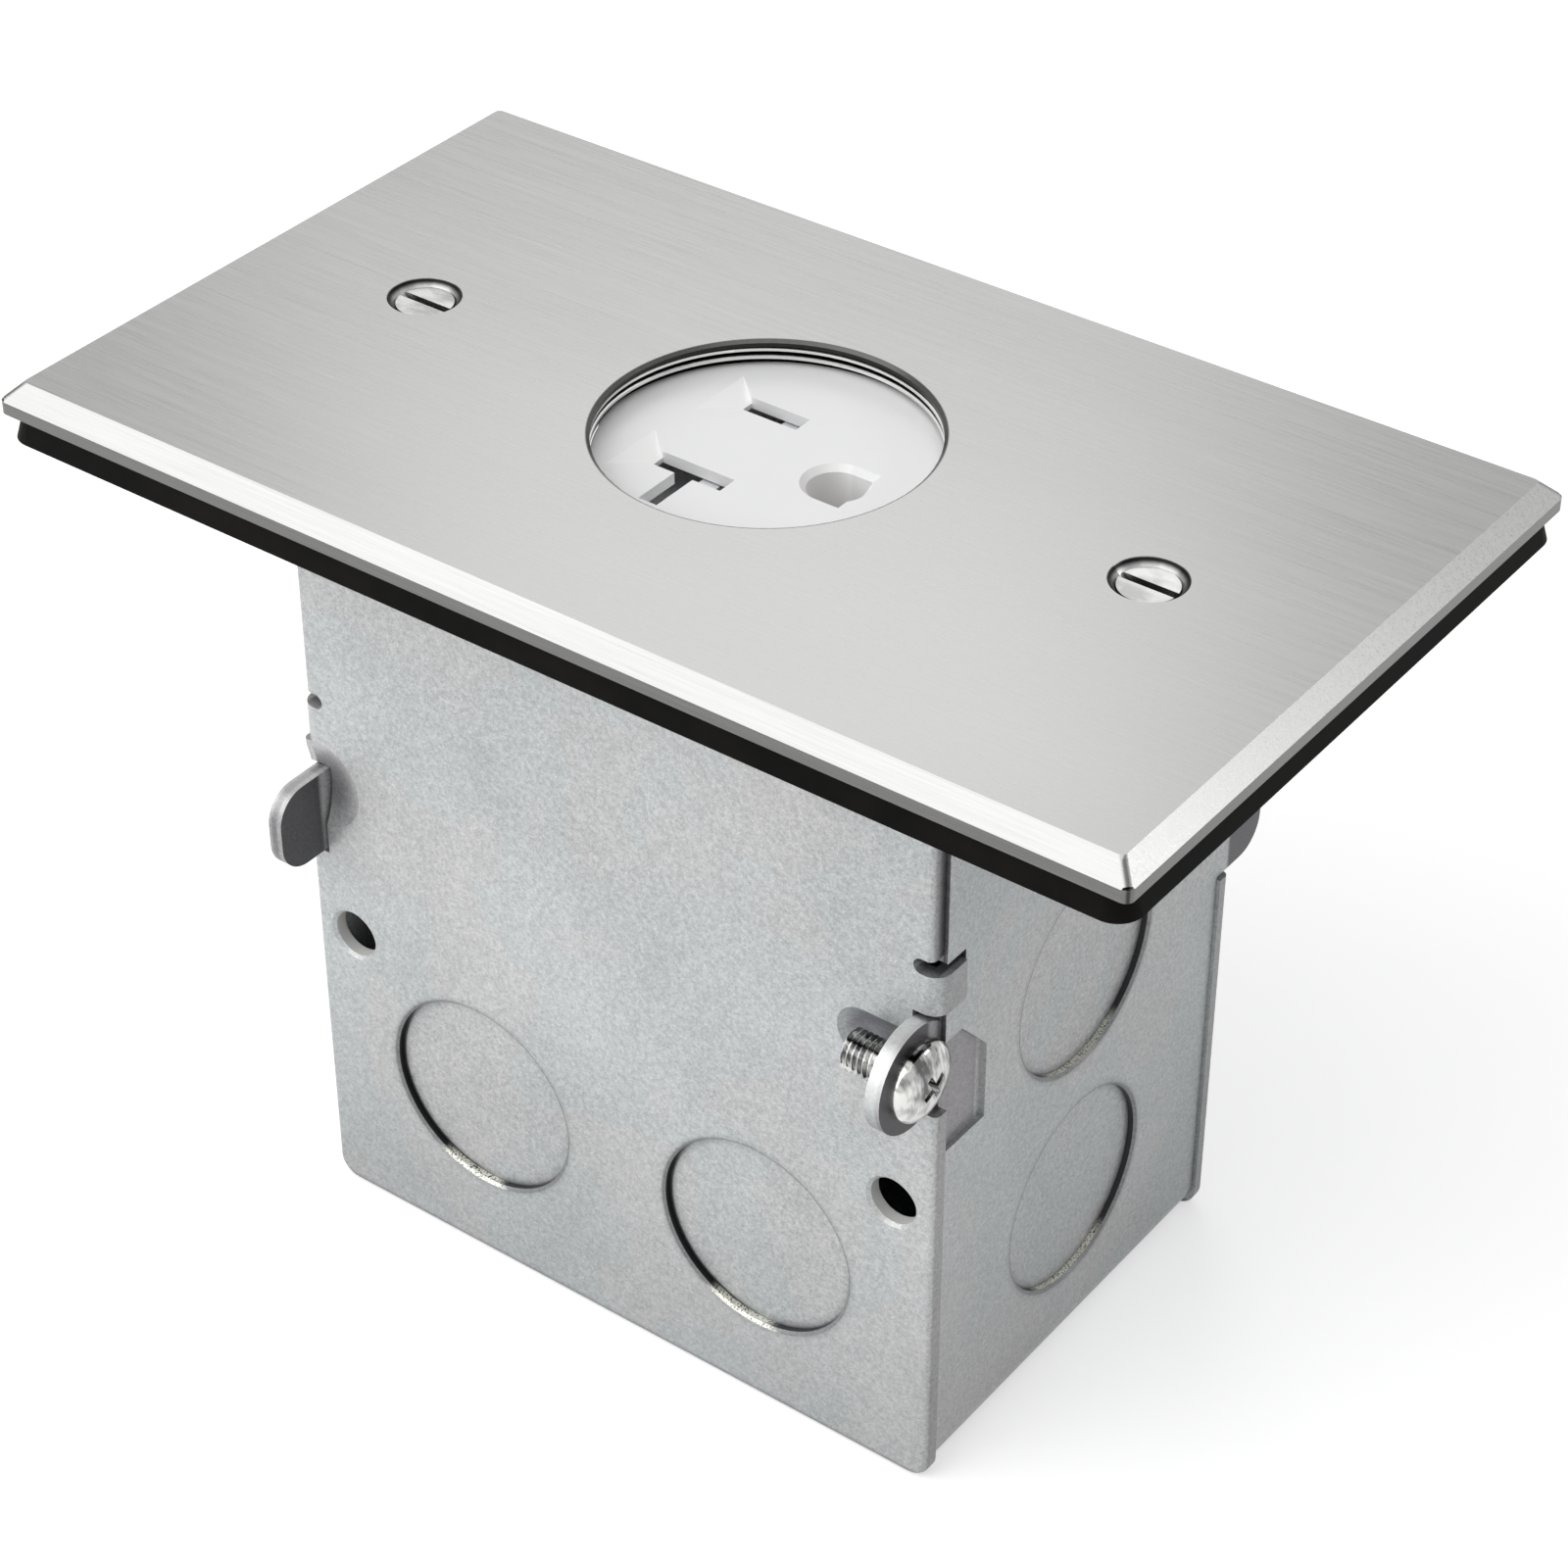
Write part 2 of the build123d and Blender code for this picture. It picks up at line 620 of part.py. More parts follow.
# Receptacle face: a round boss that stands through the strap, on a skirt below it
with BuildPart() as receptacle_face:
    with BuildSketch(Plane.XY.offset(strap_bottom_z)):
        Circle(face_radius)
    extrude(amount=face_top_z - strap_bottom_z)
    chamfer(receptacle_face.faces().sort_by(Axis.Z)[-1].edges(), face_edge_bevel)
    with BuildSketch(Plane.XY.offset(skirt_bottom_z)):
        RectangleRounded(body_length, body_width, body_corner)
    extrude(amount=skirt_height)
    with BuildSketch(Plane.XY.offset(skirt_bottom_z)):
        RectangleRounded(body_length - 2 * skirt_wall, body_width - 2 * skirt_wall, body_corner - 1)
        for x in (-rivet_x, rivet_x):
            with Locations((x, -rivet_y), (x, rivet_y)):
                Circle(rivet_head_radius + 0.5, mode=Mode.SUBTRACT)
    extrude(amount=skirt_height - skirt_top_thickness, mode=Mode.SUBTRACT)
    with BuildSketch(Plane.XY.offset(skirt_bottom_z)):
        Circle(cavity_radius)
    extrude(amount=face_under_z - skirt_bottom_z, mode=Mode.SUBTRACT)
    with BuildSketch(Plane.XY.offset(face_under_z)):
        blade_openings(0)
    extrude(amount=face_top_thickness, mode=Mode.SUBTRACT)
    # Well of the ground pin, down to the guide
    with BuildSketch(Plane.XY.offset(guide_top_z + slide_gap)):
        ground_opening(2 * ground_well_wall)
    extrude(amount=face_under_z - guide_top_z - slide_gap)
    with BuildSketch(Plane.XY.offset(guide_top_z)):
        ground_opening(0)
    extrude(amount=face_top_z - guide_top_z, mode=Mode.SUBTRACT)
    # Sloped lead-ins that guide the blades into the slots
    for y, end_x in ((hot_y, hot_slot_end_x), (neutral_y, neutral_slot_end_x)):
        with BuildSketch(Plane.XY.offset(face_top_z)):
            with BuildLine():
                Polyline(
                    (end_x + 0.02, y - slot_width / 2), (end_x + 0.02, y + slot_width / 2),
                    (end_x - ramp_length, y + ramp_half_width), (end_x - ramp_length, y - ramp_half_width),
                    close=True,
                )
            make_face()
        with BuildSketch(Plane.XY.offset(face_top_z - ramp_depth)):
            with BuildLine():
                Polyline(
                    (end_x + 0.02, y - slot_width / 2), (end_x + 0.02, y + slot_width / 2),
                    (end_x - 0.1, y + slot_width / 2), (end_x - 0.1, y - slot_width / 2),
                    close=True,
                )
            make_face()
        loft(ruled=True, mode=Mode.SUBTRACT)
    ground_arc = (
        receptacle_face.edges().filter_by(GeomType.CIRCLE)
        .filter_by(lambda e: abs(e.radius - ground_radius) < 0.01 and e.center().Z > face_top_z - 0.1)
    )
    chamfer(ground_arc, ground_lead_in)
    for x in (-rivet_x, rivet_x):
        with Locations((x, -rivet_y, strap_bottom_z), (x, rivet_y, strap_bottom_z)):
            Hole(rivet_radius + rivet_fit, depth=skirt_height)
save(receptacle_face.part, "receptacle_face")

# Mounting strap: waist round the face, bars over the ears, a tab for the ground screw
with BuildPart() as mounting_strap:
    with BuildSketch(Plane.XY.offset(strap_bottom_z)):
        RectangleRounded(strap_waist_length, strap_waist_width, strap_corner)
        RectangleRounded(strap_length, strap_width, strap_corner)
        Circle(face_radius + strap_fit, mode=Mode.SUBTRACT)
        with Locations((-cover_screw_x, 0), (cover_screw_x, 0)):
            SlotOverall(strap_slot_length, strap_slot_width, mode=Mode.SUBTRACT)
        for x in (-rivet_x, rivet_x):
            with Locations((x, -rivet_y), (x, rivet_y)):
                Circle(rivet_radius + rivet_fit, mode=Mode.SUBTRACT)
    extrude(amount=strap_thickness)
    with Locations((ground_tab_x, -strap_width / 2 + strap_thickness / 2, strap_bottom_z - ground_tab_drop / 2)):
        Box(ground_tab_length, strap_thickness, ground_tab_drop)
    tab_corners = (
        mounting_strap.edges().filter_by(Axis.Y)
        .filter_by(lambda e: e.center().Z < strap_bottom_z - ground_tab_drop + 0.1)
    )
    fillet(tab_corners, ground_tab_corner)
    ground_screw_z = strap_bottom_z - ground_tab_drop / 2
    with BuildSketch(Plane(origin=(ground_tab_x, 0, ground_screw_z), x_dir=(1, 0, 0), z_dir=(0, -1, 0))):
        Circle(terminal_screw_radius + thread_fit)
    extrude(amount=strap_width, mode=Mode.SUBTRACT)
save(mounting_strap.part, "mounting_strap")

# Receptacle base: a moulded block with chambers for the contacts and side recesses
with BuildPart() as receptacle_base:
    with BuildSketch(Plane.XY.offset(base_bottom_z)):
        RectangleRounded(body_length, body_width, body_corner)
    extrude(amount=base_height)
    chamfer(receptacle_base.faces().sort_by(Axis.Z)[0].edges(), base_foot_chamfer)
    with BuildSketch(Plane.XY.offset(skirt_bottom_z)):
        RectangleRounded(body_length - 2 * (skirt_wall + core_clearance),
                         body_width - 2 * (skirt_wall + core_clearance), body_corner - 1)
        for x in (-rivet_x, rivet_x):
            with Locations((x, -rivet_y), (x, rivet_y)):
                Circle(rivet_head_radius + 0.5 + core_clearance, mode=Mode.SUBTRACT)
    extrude(amount=skirt_height - skirt_top_thickness - core_clearance)
    with BuildSketch(Plane.XY.offset(skirt_bottom_z)):
        Circle(cavity_radius - guide_fit)
    extrude(amount=guide_bottom_z - skirt_bottom_z)
    # Chambers, open at the top and through to the side recesses
    chamber_floor_z = jaw_bottom_z - strip / 2 - contact_clearance
    for out, length in ((1, hot_slot_length), (-1, neutral_slot_length)):
        chamber_start = blade_spacing / 2 - chamber_half
        with BuildSketch(Plane.XY.offset(chamber_floor_z)):
            with Locations((blade_line_x, out * (chamber_start + terminal_back_y + strip) / 2)):
                Rectangle(length + 2 * contact_clearance, terminal_back_y + strip - chamber_start)
        extrude(amount=guide_bottom_z - chamber_floor_z, mode=Mode.SUBTRACT)
        recess_from = terminal_x - terminal_recess_margin
        recess_to = blade_line_x + terminal_recess_margin
        with BuildSketch(Plane.XY.offset(jaw_bottom_z - terminal_recess_drop)):
            with Locations(((recess_from + recess_to) / 2, out * (terminal_back_y + terminal_recess_depth / 2))):
                Rectangle(recess_to - recess_from, terminal_recess_depth)
        extrude(amount=skirt_bottom_z - jaw_bottom_z + terminal_recess_drop, mode=Mode.SUBTRACT)
        with BuildSketch(Plane(origin=(terminal_x, out * terminal_y, terminal_z), x_dir=(1, 0, 0),
                               z_dir=(0, -out, 0))):
            Circle(terminal_screw_radius + contact_clearance)
        extrude(amount=terminal_screw_length, mode=Mode.SUBTRACT)
    # Well of the ground sleeve and the slot by which its strip leaves the end of the body
    with BuildSketch(Plane.XY.offset(chamber_floor_z)):
        with Locations((ground_x, 0)):
            Circle(ground_sleeve_radius + strip + contact_clearance)
        with Locations(((ground_x + body_length / 2 + 1) / 2, 0)):
            Rectangle(body_length / 2 + 1 - ground_x, ground_strip_width + 2 * contact_clearance)
    extrude(amount=guide_bottom_z - chamber_floor_z, mode=Mode.SUBTRACT)
    for x in (-rivet_x, rivet_x):
        with Locations((x, -rivet_y, skirt_bottom_z), (x, rivet_y, skirt_bottom_z)):
            Hole(rivet_radius + rivet_fit, depth=base_height)
save(receptacle_base.part, "receptacle_base")

# Guide tray of the shutter, with rails at its sides and seats for the two springs
with BuildPart() as shutter_guide:
    with BuildSketch(Plane.XY.offset(guide_bottom_z)):
        Circle(cavity_radius - guide_fit)
    extrude(amount=guide_thickness)
    with BuildSketch(Plane.XY.offset(guide_top_z)):
        rail_y = shutter_half_width + slide_gap + guide_rail_width / 2
        rail_x = shutter_x + (shutter_bar + shutter_travel) / 2
        with Locations((rail_x, -rail_y), (rail_x, rail_y)):
            Rectangle(shutter_bar + shutter_travel, guide_rail_width)
        with Locations((spring_seat_x + spring_seat_thickness / 2, -spring_y),
                       (spring_seat_x + spring_seat_thickness / 2, spring_y)):
            Rectangle(spring_seat_thickness, 2 * spring_post_half_width)
        Circle(cavity_radius - guide_fit, mode=Mode.INTERSECT)
    extrude(amount=shutter_top_z - guide_top_z)
    with BuildSketch(Plane.XY.offset(guide_bottom_z)):
        blade_openings(2 * guide_opening_clearance)
        ground_opening(2 * guide_opening_clearance)
    extrude(amount=guide_thickness, mode=Mode.SUBTRACT)
save(shutter_guide.part, "shutter_guide")

# Shutter: a bar with blocks that stand under the blade slots and posts for the springs
with BuildPart() as shutter:
    with BuildSketch(Plane.XY.offset(shutter_bottom_z)):
        with Locations((shutter_x + shutter_bar / 2, 0)):
            Rectangle(shutter_bar, 2 * shutter_half_width)
    extrude(amount=shutter_bar_thickness)
    with BuildSketch(Plane.XY.offset(shutter_bottom_z)):
        block_x = shutter_x + shutter_block_length / 2
        block_half = slot_width / 2 + shutter_block_side
        branch_end = neutral_y - branch_reach - shutter_block_side / 2
        with Locations((block_x, hot_y)):
            Rectangle(shutter_block_length, 2 * block_half)
        with Locations((block_x, (neutral_y + block_half + branch_end) / 2)):
            Rectangle(shutter_block_length, neutral_y + block_half - branch_end)
        with Locations((shutter_x + shutter_bar / 2, -spring_y), (shutter_x + shutter_bar / 2, spring_y)):
            Rectangle(shutter_bar, 2 * spring_post_half_width)
    extrude(amount=shutter_top_z - shutter_bottom_z)
    ramp_edges = (
        shutter.edges().filter_by(Axis.Y)
        .filter_by(lambda e: e.center().Z > shutter_top_z - 0.01 and e.center().X < shutter_x + 0.01)
    )
    chamfer(ramp_edges, shutter_ramp)
save(shutter.part, "shutter")

# Two coil springs that hold the shutter closed
coil_start_x = shutter_back_x + spring_wire / 2
with BuildPart() as one_spring:
    with BuildLine():
        coil = Helix(pitch=spring_pitch, height=spring_seat_x - shutter_back_x - spring_wire, radius=spring_radius,
                     center=(coil_start_x, 0, spring_z), direction=(1, 0, 0))
    with BuildSketch(Plane(origin=coil @ 0, z_dir=coil % 0)):
        RegularPolygon(spring_wire / 2, 6)
    sweep(path=coil, is_frenet=True)

with BuildPart() as shutter_springs:
    with Locations((0, -spring_y), (0, spring_y)):
        add(one_spring.part)
save(shutter_springs.part, "shutter_springs")


# Points of a jaw's section, from the middle outward and upward
def jaw_path(middle):
    wide = jaw_gap / 2 + strip / 2 + jaw_flare
    pinch = jaw_gap / 2 + strip / 2
    heights = ((wide, jaw_height), (pinch, jaw_pinch), (wide, jaw_straight), (wide, 0))
    left = [(middle - half, jaw_bottom_z + height) for half, height in heights]
    right = [(middle + half, jaw_bottom_z + height) for half, height in reversed(heights)]
    return left + right


# Contact of one blade: spring jaws, a foot strip and the terminal plate in the side recess
blade_sides = {"hot_contact": (1, hot_slot_length), "neutral_contact": (-1, neutral_slot_length)}
for contact_name, (out, length) in blade_sides.items():
    with BuildPart() as contact:
        with BuildSketch(Plane(origin=(blade_line_x, 0, 0), x_dir=(0, 1, 0), z_dir=(1, 0, 0))):
            with BuildLine():
                Polyline(*jaw_path(out * blade_spacing / 2))
            trace(line_width=strip)
        extrude(amount=length / 2, both=True)
        with Locations((blade_line_x, out * (blade_spacing / 2 + terminal_y) / 2, jaw_bottom_z)):
            Box(length, terminal_y - blade_spacing / 2, strip)
        if out < 0:
            # Second pair of jaws for a blade that lies across the first
            jaw_outer = jaw_gap / 2 + strip + jaw_flare
            with Locations((blade_line_x, neutral_y - jaw_outer + strip / 2,
                            jaw_bottom_z + strip / 2 + jaw_height / 2)):
                Box(branch_split, 4 * strip, jaw_height, mode=Mode.SUBTRACT)
            branch_from = neutral_y - jaw_outer - contact_clearance
            branch_to = neutral_y - branch_reach + contact_clearance
            with BuildSketch(Plane(origin=(0, branch_from, 0), x_dir=(1, 0, 0), z_dir=(0, -1, 0))):
                with BuildLine():
                    Polyline(*jaw_path(blade_line_x))
                trace(line_width=strip)
            extrude(amount=branch_from - branch_to)
        terminal_face = Plane(origin=(0, out * (terminal_y + strip / 2), 0), x_dir=(1, 0, 0),
                              z_dir=(0, -1, 0))
        with BuildSketch(terminal_face):
            foot_from = terminal_x - terminal_width / 2
            foot_to = blade_line_x + length / 2
            with Locations(((foot_from + foot_to) / 2, jaw_bottom_z + terminal_foot / 2 - strip / 2)):
                Rectangle(foot_to - foot_from, terminal_foot)
            with Locations((terminal_x, terminal_z)):
                Rectangle(terminal_width, terminal_height)
                Circle(terminal_screw_radius + thread_fit, mode=Mode.SUBTRACT)
        extrude(amount=out * strip)
    save(contact.part, contact_name)

# Ground contact: a slit sleeve with a strip that rises outside the body to the strap
with BuildPart() as ground_contact:
    with BuildSketch(Plane.XY.offset(jaw_bottom_z - strip / 2)):
        with Locations((ground_x, 0)):
            Circle(ground_sleeve_radius + strip)
    extrude(amount=jaw_height + strip / 2)
    with BuildSketch(Plane.XY.offset(jaw_bottom_z + strip / 2)):
        with Locations((ground_x, 0)):
            Circle(ground_sleeve_radius)
        with Locations((ground_x - ground_sleeve_radius, 0)):
            Rectangle(4 * strip, ground_sleeve_slit)
    extrude(amount=jaw_height, mode=Mode.SUBTRACT)
    with BuildSketch(Plane.XZ):
        with BuildLine():
            rise_x = body_length / 2 + strip / 2 + contact_clearance
            Polyline(
                (ground_x + ground_sleeve_radius, jaw_bottom_z),
                (rise_x, jaw_bottom_z),
                (rise_x, strap_bottom_z - strip / 2),
                (rise_x + ground_foot_length, strap_bottom_z - strip / 2),
            )
        trace(line_width=strip)
    extrude(amount=ground_strip_width / 2, both=True)
save(ground_contact.part, "ground_contact")


# Pan head screw along a plane's normal, head on the normal's side, with a slot across it
def pan_screw(seat, radius, length, head_radius, head_height, slot):
    with BuildPart() as screw:
        with BuildSketch(seat):
            Circle(head_radius)
        extrude(amount=head_height)
        with BuildSketch(seat):
            Circle(radius)
        extrude(amount=-length)
        with BuildSketch(seat.offset(head_height)):
            Rectangle(slot, head_radius * 2 + 1)
        extrude(amount=-head_height * 0.5, mode=Mode.SUBTRACT)
    return screw.part


# Clamp plates under the terminal screws, and the screws themselves
clamp_front_y = terminal_y + strip / 2 + clamp_thickness
with BuildPart() as clamp_plates:
    for out in (-1, 1):
        with BuildSketch(Plane(origin=(terminal_x, out * clamp_front_y, terminal_z), x_dir=(1, 0, 0),
                               z_dir=(0, out, 0))):
            Rectangle(terminal_width, terminal_width)
            Circle(terminal_screw_radius + clamp_hole_play, mode=Mode.SUBTRACT)
        extrude(amount=-clamp_thickness)
save(clamp_plates.part, "clamp_plates")

terminal_seats = {
    "hot_terminal_screw": Plane(origin=(terminal_x, clamp_front_y, terminal_z), x_dir=(1, 0, 0),
                                z_dir=(0, 1, 0)),
    "neutral_terminal_screw": Plane(origin=(terminal_x, -clamp_front_y, terminal_z), x_dir=(1, 0, 0),
                                    z_dir=(0, -1, 0)),
    "ground_terminal_screw": Plane(origin=(ground_tab_x, -strap_width / 2, ground_screw_z), x_dir=(1, 0, 0),
                                   z_dir=(0, -1, 0)),
}
for screw_name, seat in terminal_seats.items():
    save(pan_screw(seat, terminal_screw_radius, terminal_screw_length, terminal_screw_head_radius,
                   terminal_screw_head_height, terminal_screw_slot), screw_name)

# Grounding screw of the box, driven into its bottom
box_ground_seat = Plane(origin=(0, 0, sheet), x_dir=(1, 0, 0), z_dir=(0, 0, 1))
with BuildPart() as box_ground_screw:
    with BuildSketch(box_ground_seat):
        Circle(box_ground_head_radius + box_ground_flange)
    extrude(amount=box_ground_flange_height)
    with BuildSketch(box_ground_seat.offset(box_ground_flange_height)):
        RegularPolygon(box_ground_head_radius, 6)
    extrude(amount=box_ground_head_height)
    with BuildSketch(box_ground_seat):
        Circle(ground_hole_radius - thread_fit)
    extrude(amount=-sheet)
save(box_ground_screw.part, "box_ground_screw")

# Rivets that hold strap, face and base together
with BuildPart() as one_rivet:
    with BuildSketch(Plane.XZ):
        with BuildLine():
            foot_z = base_bottom_z - rivet_head_height
            crown_z = strap_top_z + rivet_head_height
            Polyline(
                (0, foot_z), (rivet_radius, foot_z), (rivet_head_radius, base_bottom_z),
                (rivet_radius, base_bottom_z), (rivet_radius, strap_top_z), (rivet_head_radius, strap_top_z),
                (rivet_radius, crown_z), (0, crown_z),
                close=True,
            )
        make_face()
    revolve(axis=Axis.Z)

with BuildPart() as housing_rivets:
    with Locations(*[(x, y) for x in (-rivet_x, rivet_x) for y in (-rivet_y, rivet_y)]):
        add(one_rivet.part)
save(housing_rivets.part, "housing_rivets")
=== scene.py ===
import json
import math
import bmesh
import bpy
from mathutils import Matrix, Vector


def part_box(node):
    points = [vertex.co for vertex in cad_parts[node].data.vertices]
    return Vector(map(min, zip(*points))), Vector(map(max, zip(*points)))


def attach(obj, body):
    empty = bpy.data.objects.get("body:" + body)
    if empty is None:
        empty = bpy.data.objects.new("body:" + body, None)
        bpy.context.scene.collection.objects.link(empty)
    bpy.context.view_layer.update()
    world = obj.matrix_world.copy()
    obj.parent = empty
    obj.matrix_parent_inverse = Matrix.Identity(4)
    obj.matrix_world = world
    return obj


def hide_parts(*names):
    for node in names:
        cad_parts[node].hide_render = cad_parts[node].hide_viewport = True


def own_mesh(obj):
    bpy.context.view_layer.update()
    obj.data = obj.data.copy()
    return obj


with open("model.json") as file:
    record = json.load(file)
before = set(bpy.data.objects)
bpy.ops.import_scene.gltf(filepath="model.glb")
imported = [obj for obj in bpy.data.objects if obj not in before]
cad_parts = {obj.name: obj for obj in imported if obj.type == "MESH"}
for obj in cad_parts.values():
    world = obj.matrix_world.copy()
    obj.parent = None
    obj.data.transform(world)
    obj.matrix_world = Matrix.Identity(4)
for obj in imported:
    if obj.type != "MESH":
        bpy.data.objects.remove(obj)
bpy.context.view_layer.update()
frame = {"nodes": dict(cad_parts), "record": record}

housing = "housing"


def mm(*values):
    if len(values) == 1:
        return values[0] / 1000
    return tuple(value / 1000 for value in values)


# Places read from the frame
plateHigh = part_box("cover_plate")[1]
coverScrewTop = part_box("cover_screws")[1].z
ringLow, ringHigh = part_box("threaded_ring")
screwLow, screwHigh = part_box("side_screws")
springLow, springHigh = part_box("shutter_springs")


# Shader sums written as plain expressions
class Signal:
    def __init__(self, graph, socket):
        self.graph = graph
        self.socket = socket

    def math(self, operation, first, second=None):
        return self.graph.node("ShaderNodeMath", {"operation": operation}, {0: first, 1: second})

    def __add__(self, other):
        return self.math("ADD", self, other)

    def __radd__(self, other):
        return self.math("ADD", other, self)

    def __sub__(self, other):
        return self.math("SUBTRACT", self, other)

    def __rsub__(self, other):
        return self.math("SUBTRACT", other, self)

    def __mul__(self, other):
        return self.math("MULTIPLY", self, other)

    def __rmul__(self, other):
        return self.math("MULTIPLY", other, self)

    def __pow__(self, other):
        return self.math("POWER", self, other)

    def clamp(self):
        return self.graph.node("ShaderNodeClamp", {}, {0: self})

    def __abs__(self):
        return self.graph.node("ShaderNodeMath", {"operation": "ABSOLUTE"}, {0: self})


class Graph:
    def __init__(self, owner):
        owner.use_nodes = True
        self.material = owner
        self.tree = owner.node_tree
        self.shader = self.tree.nodes.get("Principled BSDF")

    def plug(self, value, socket):
        if isinstance(value, Signal):
            self.tree.links.new(value.socket, socket)
        elif value is not None:
            socket.default_value = value

    def node(self, kind, settings, inputs, output=0):
        made = self.tree.nodes.new(kind)
        for key, value in settings.items():
            if key == "stops":
                self.setStops(made.color_ramp, value)
            else:
                setattr(made, key, value)
        for key, value in inputs.items():
            self.plug(value, made.inputs[key])
        return Signal(self, made.outputs[output])

    def setStops(self, ramp, stops):
        while len(ramp.elements) < len(stops):
            ramp.elements.new(1.0)
        for element, (place, level) in zip(ramp.elements, stops):
            element.position = place
            element.color = (level, level, level, 1)

    def place(self, scale=(1, 1, 1)):
        where = self.node("ShaderNodeTexCoord", {}, {}, output=3)
        return self.node("ShaderNodeMapping", {}, {"Vector": where, "Scale": scale})

    def noise(self, where, scale, detail=3.0, roughness=0.55, distortion=0.0):
        return self.node("ShaderNodeTexNoise", {}, {
            "Vector": where, "Scale": scale, "Detail": detail,
            "Roughness": roughness, "Distortion": distortion})

    def ramp(self, value, *stops):
        return self.node("ShaderNodeValToRGB", {"stops": stops}, {"Fac": value})

    def mix(self, mask, first, second):
        return self.node("ShaderNodeMix", {"data_type": "RGBA"},
                         {0: mask, 6: first, 7: second}, output=2)

    def tint(self, mask, first, second):
        return self.node("ShaderNodeMix", {"data_type": "RGBA", "blend_type": "MULTIPLY"},
                         {0: mask, 6: first, 7: second}, output=2)

    def axis(self, index):
        return self.node("ShaderNodeSeparateXYZ", {}, {0: self.place()}, output=index)

    def normal(self, index):
        facing = self.node("ShaderNodeTexCoord", {}, {}, output=1)
        return self.node("ShaderNodeSeparateXYZ", {}, {0: facing}, output=index)

    def radius(self):
        return self.node("ShaderNodeVectorMath", {"operation": "LENGTH"},
                         {0: self.place((1, 1, 0))}, output=1)

    def reach(self, across, up):
        return (across * across + up * up) ** 0.5

    def rise(self, value, start, end):
        return self.node("ShaderNodeMapRange", {"interpolation_type": "SMOOTHSTEP"},
                         {"Value": value, "From Min": start, "From Max": end})

    def fall(self, value, start, end):
        return 1 - self.rise(value, start, end)

    def band(self, value, rise, fall):
        return self.rise(value, *rise) * self.fall(value, *fall)

    def side(self, value):          # -1 below zero and 1 above
        return 2 * self.rise(value, mm(-0.1), mm(0.1)) - 1

    def bump(self, height, strength, distance):
        return self.node("ShaderNodeBump", {},
                         {"Height": height, "Strength": strength, "Distance": distance})

    def finish(self, **sockets):
        for name, value in sockets.items():
            self.plug(value, self.shader.inputs[name.replace("_", " ")])
        return self.material


def shade(red, green, blue):
    return (red, green, blue, 1)


# Stainless sheet, brushed along X. A pair of sizes says where a mask starts and where it is full
brushedLook = {
    "dark": shade(0.25, 0.25, 0.245), "light": shade(0.45, 0.45, 0.445), "roughness": 0.30,
    "edge": shade(0.48, 0.48, 0.48), "edgeFacing": (0.2, 0.5),
    "mitre": shade(0.30, 0.30, 0.30), "mitreWidth": mm(0.08, 0.42), "bevel": mm(2.0, 1.7),
    "sinkShade": shade(0.03, 0.03, 0.03), "screwX": mm(41.65), "sinkRise": mm(3.1, 3.5), "sinkFall": mm(3.6, 3.74),
    "lip": shade(0.22, 0.22, 0.22), "lipRadius": mm(16.72, 16.85),
}


def brushedStainless():
    g = Graph(bpy.data.materials.new("brushedStainless"))
    look = brushedLook
    fine = g.noise(g.place((90, 7000, 7000)), 1.0, 3.0, 0.7)
    long = g.noise(g.place((30, 2600, 2600)), 1.0, 3.0, 0.6)
    cloud = g.noise(g.place((10, 22, 22)), 1.0, 2.0, 0.5)
    grain = fine * 0.7 + long * 0.3
    tone = (grain - 0.5) * 1.2 + (cloud - 0.5) * 0.35 + 0.5
    colour = g.mix(tone.clamp(), look["dark"], look["light"])
    colour = g.tint(g.fall(abs(g.normal(2)), *look["edgeFacing"]), colour, look["edge"])
    away = abs(g.axis(0)) - (plateHigh.x - plateHigh.y)        # the mitre runs where this equals abs(y)
    mitre = g.fall(abs(away - abs(g.axis(1))), *look["mitreWidth"])
    corner = g.rise(away, *[plateHigh.y - inset for inset in look["bevel"]])
    colour = g.tint((mitre * corner).clamp(), colour, look["mitre"])
    fromScrew = g.reach(abs(g.axis(0)) - look["screwX"], g.axis(1))
    # painted shade on the countersink's cone round each cover screw
    colour = g.tint(g.band(fromScrew, look["sinkRise"], look["sinkFall"]), colour, look["sinkShade"])
    # painted shade on the wall of the cap opening
    colour = g.tint(g.fall(g.radius(), *look["lipRadius"]), colour, look["lip"])
    return g.finish(Base_Color=colour, Metallic=1.0, Roughness=(grain - 0.5) * 0.30 + look["roughness"],
                    Normal=g.bump(grain, 0.10, mm(0.03)))


# Bright plating, rougher in the roots of the thread, whose near-black colour is painted shade and dark
# reflection
chromeLook = {"crest": shade(0.82, 0.82, 0.81), "root": shade(0.01, 0.01, 0.01), "roughness": 0.06,
              "rootRadius": mm(16.49, 16.62)}


def brightChrome():
    g = Graph(bpy.data.materials.new("brightChrome"))
    look = chromeLook
    wear = g.noise(g.place(), 900, 3.0, 0.6)
    depth = g.rise(g.radius() + (wear - 0.5) * mm(0.06), *look["rootRadius"])
    return g.finish(Base_Color=g.mix(depth, look["crest"], look["root"]), Metallic=1.0,
                    Roughness=(wear - 0.5) * 0.08 + depth * 0.25 + look["roughness"])


# Black moulded rubber with a slight bloom
rubberLook = {"dark": shade(0.003, 0.0028, 0.0026), "bloom": shade(0.010, 0.009, 0.008),
              "roughness": 0.55}


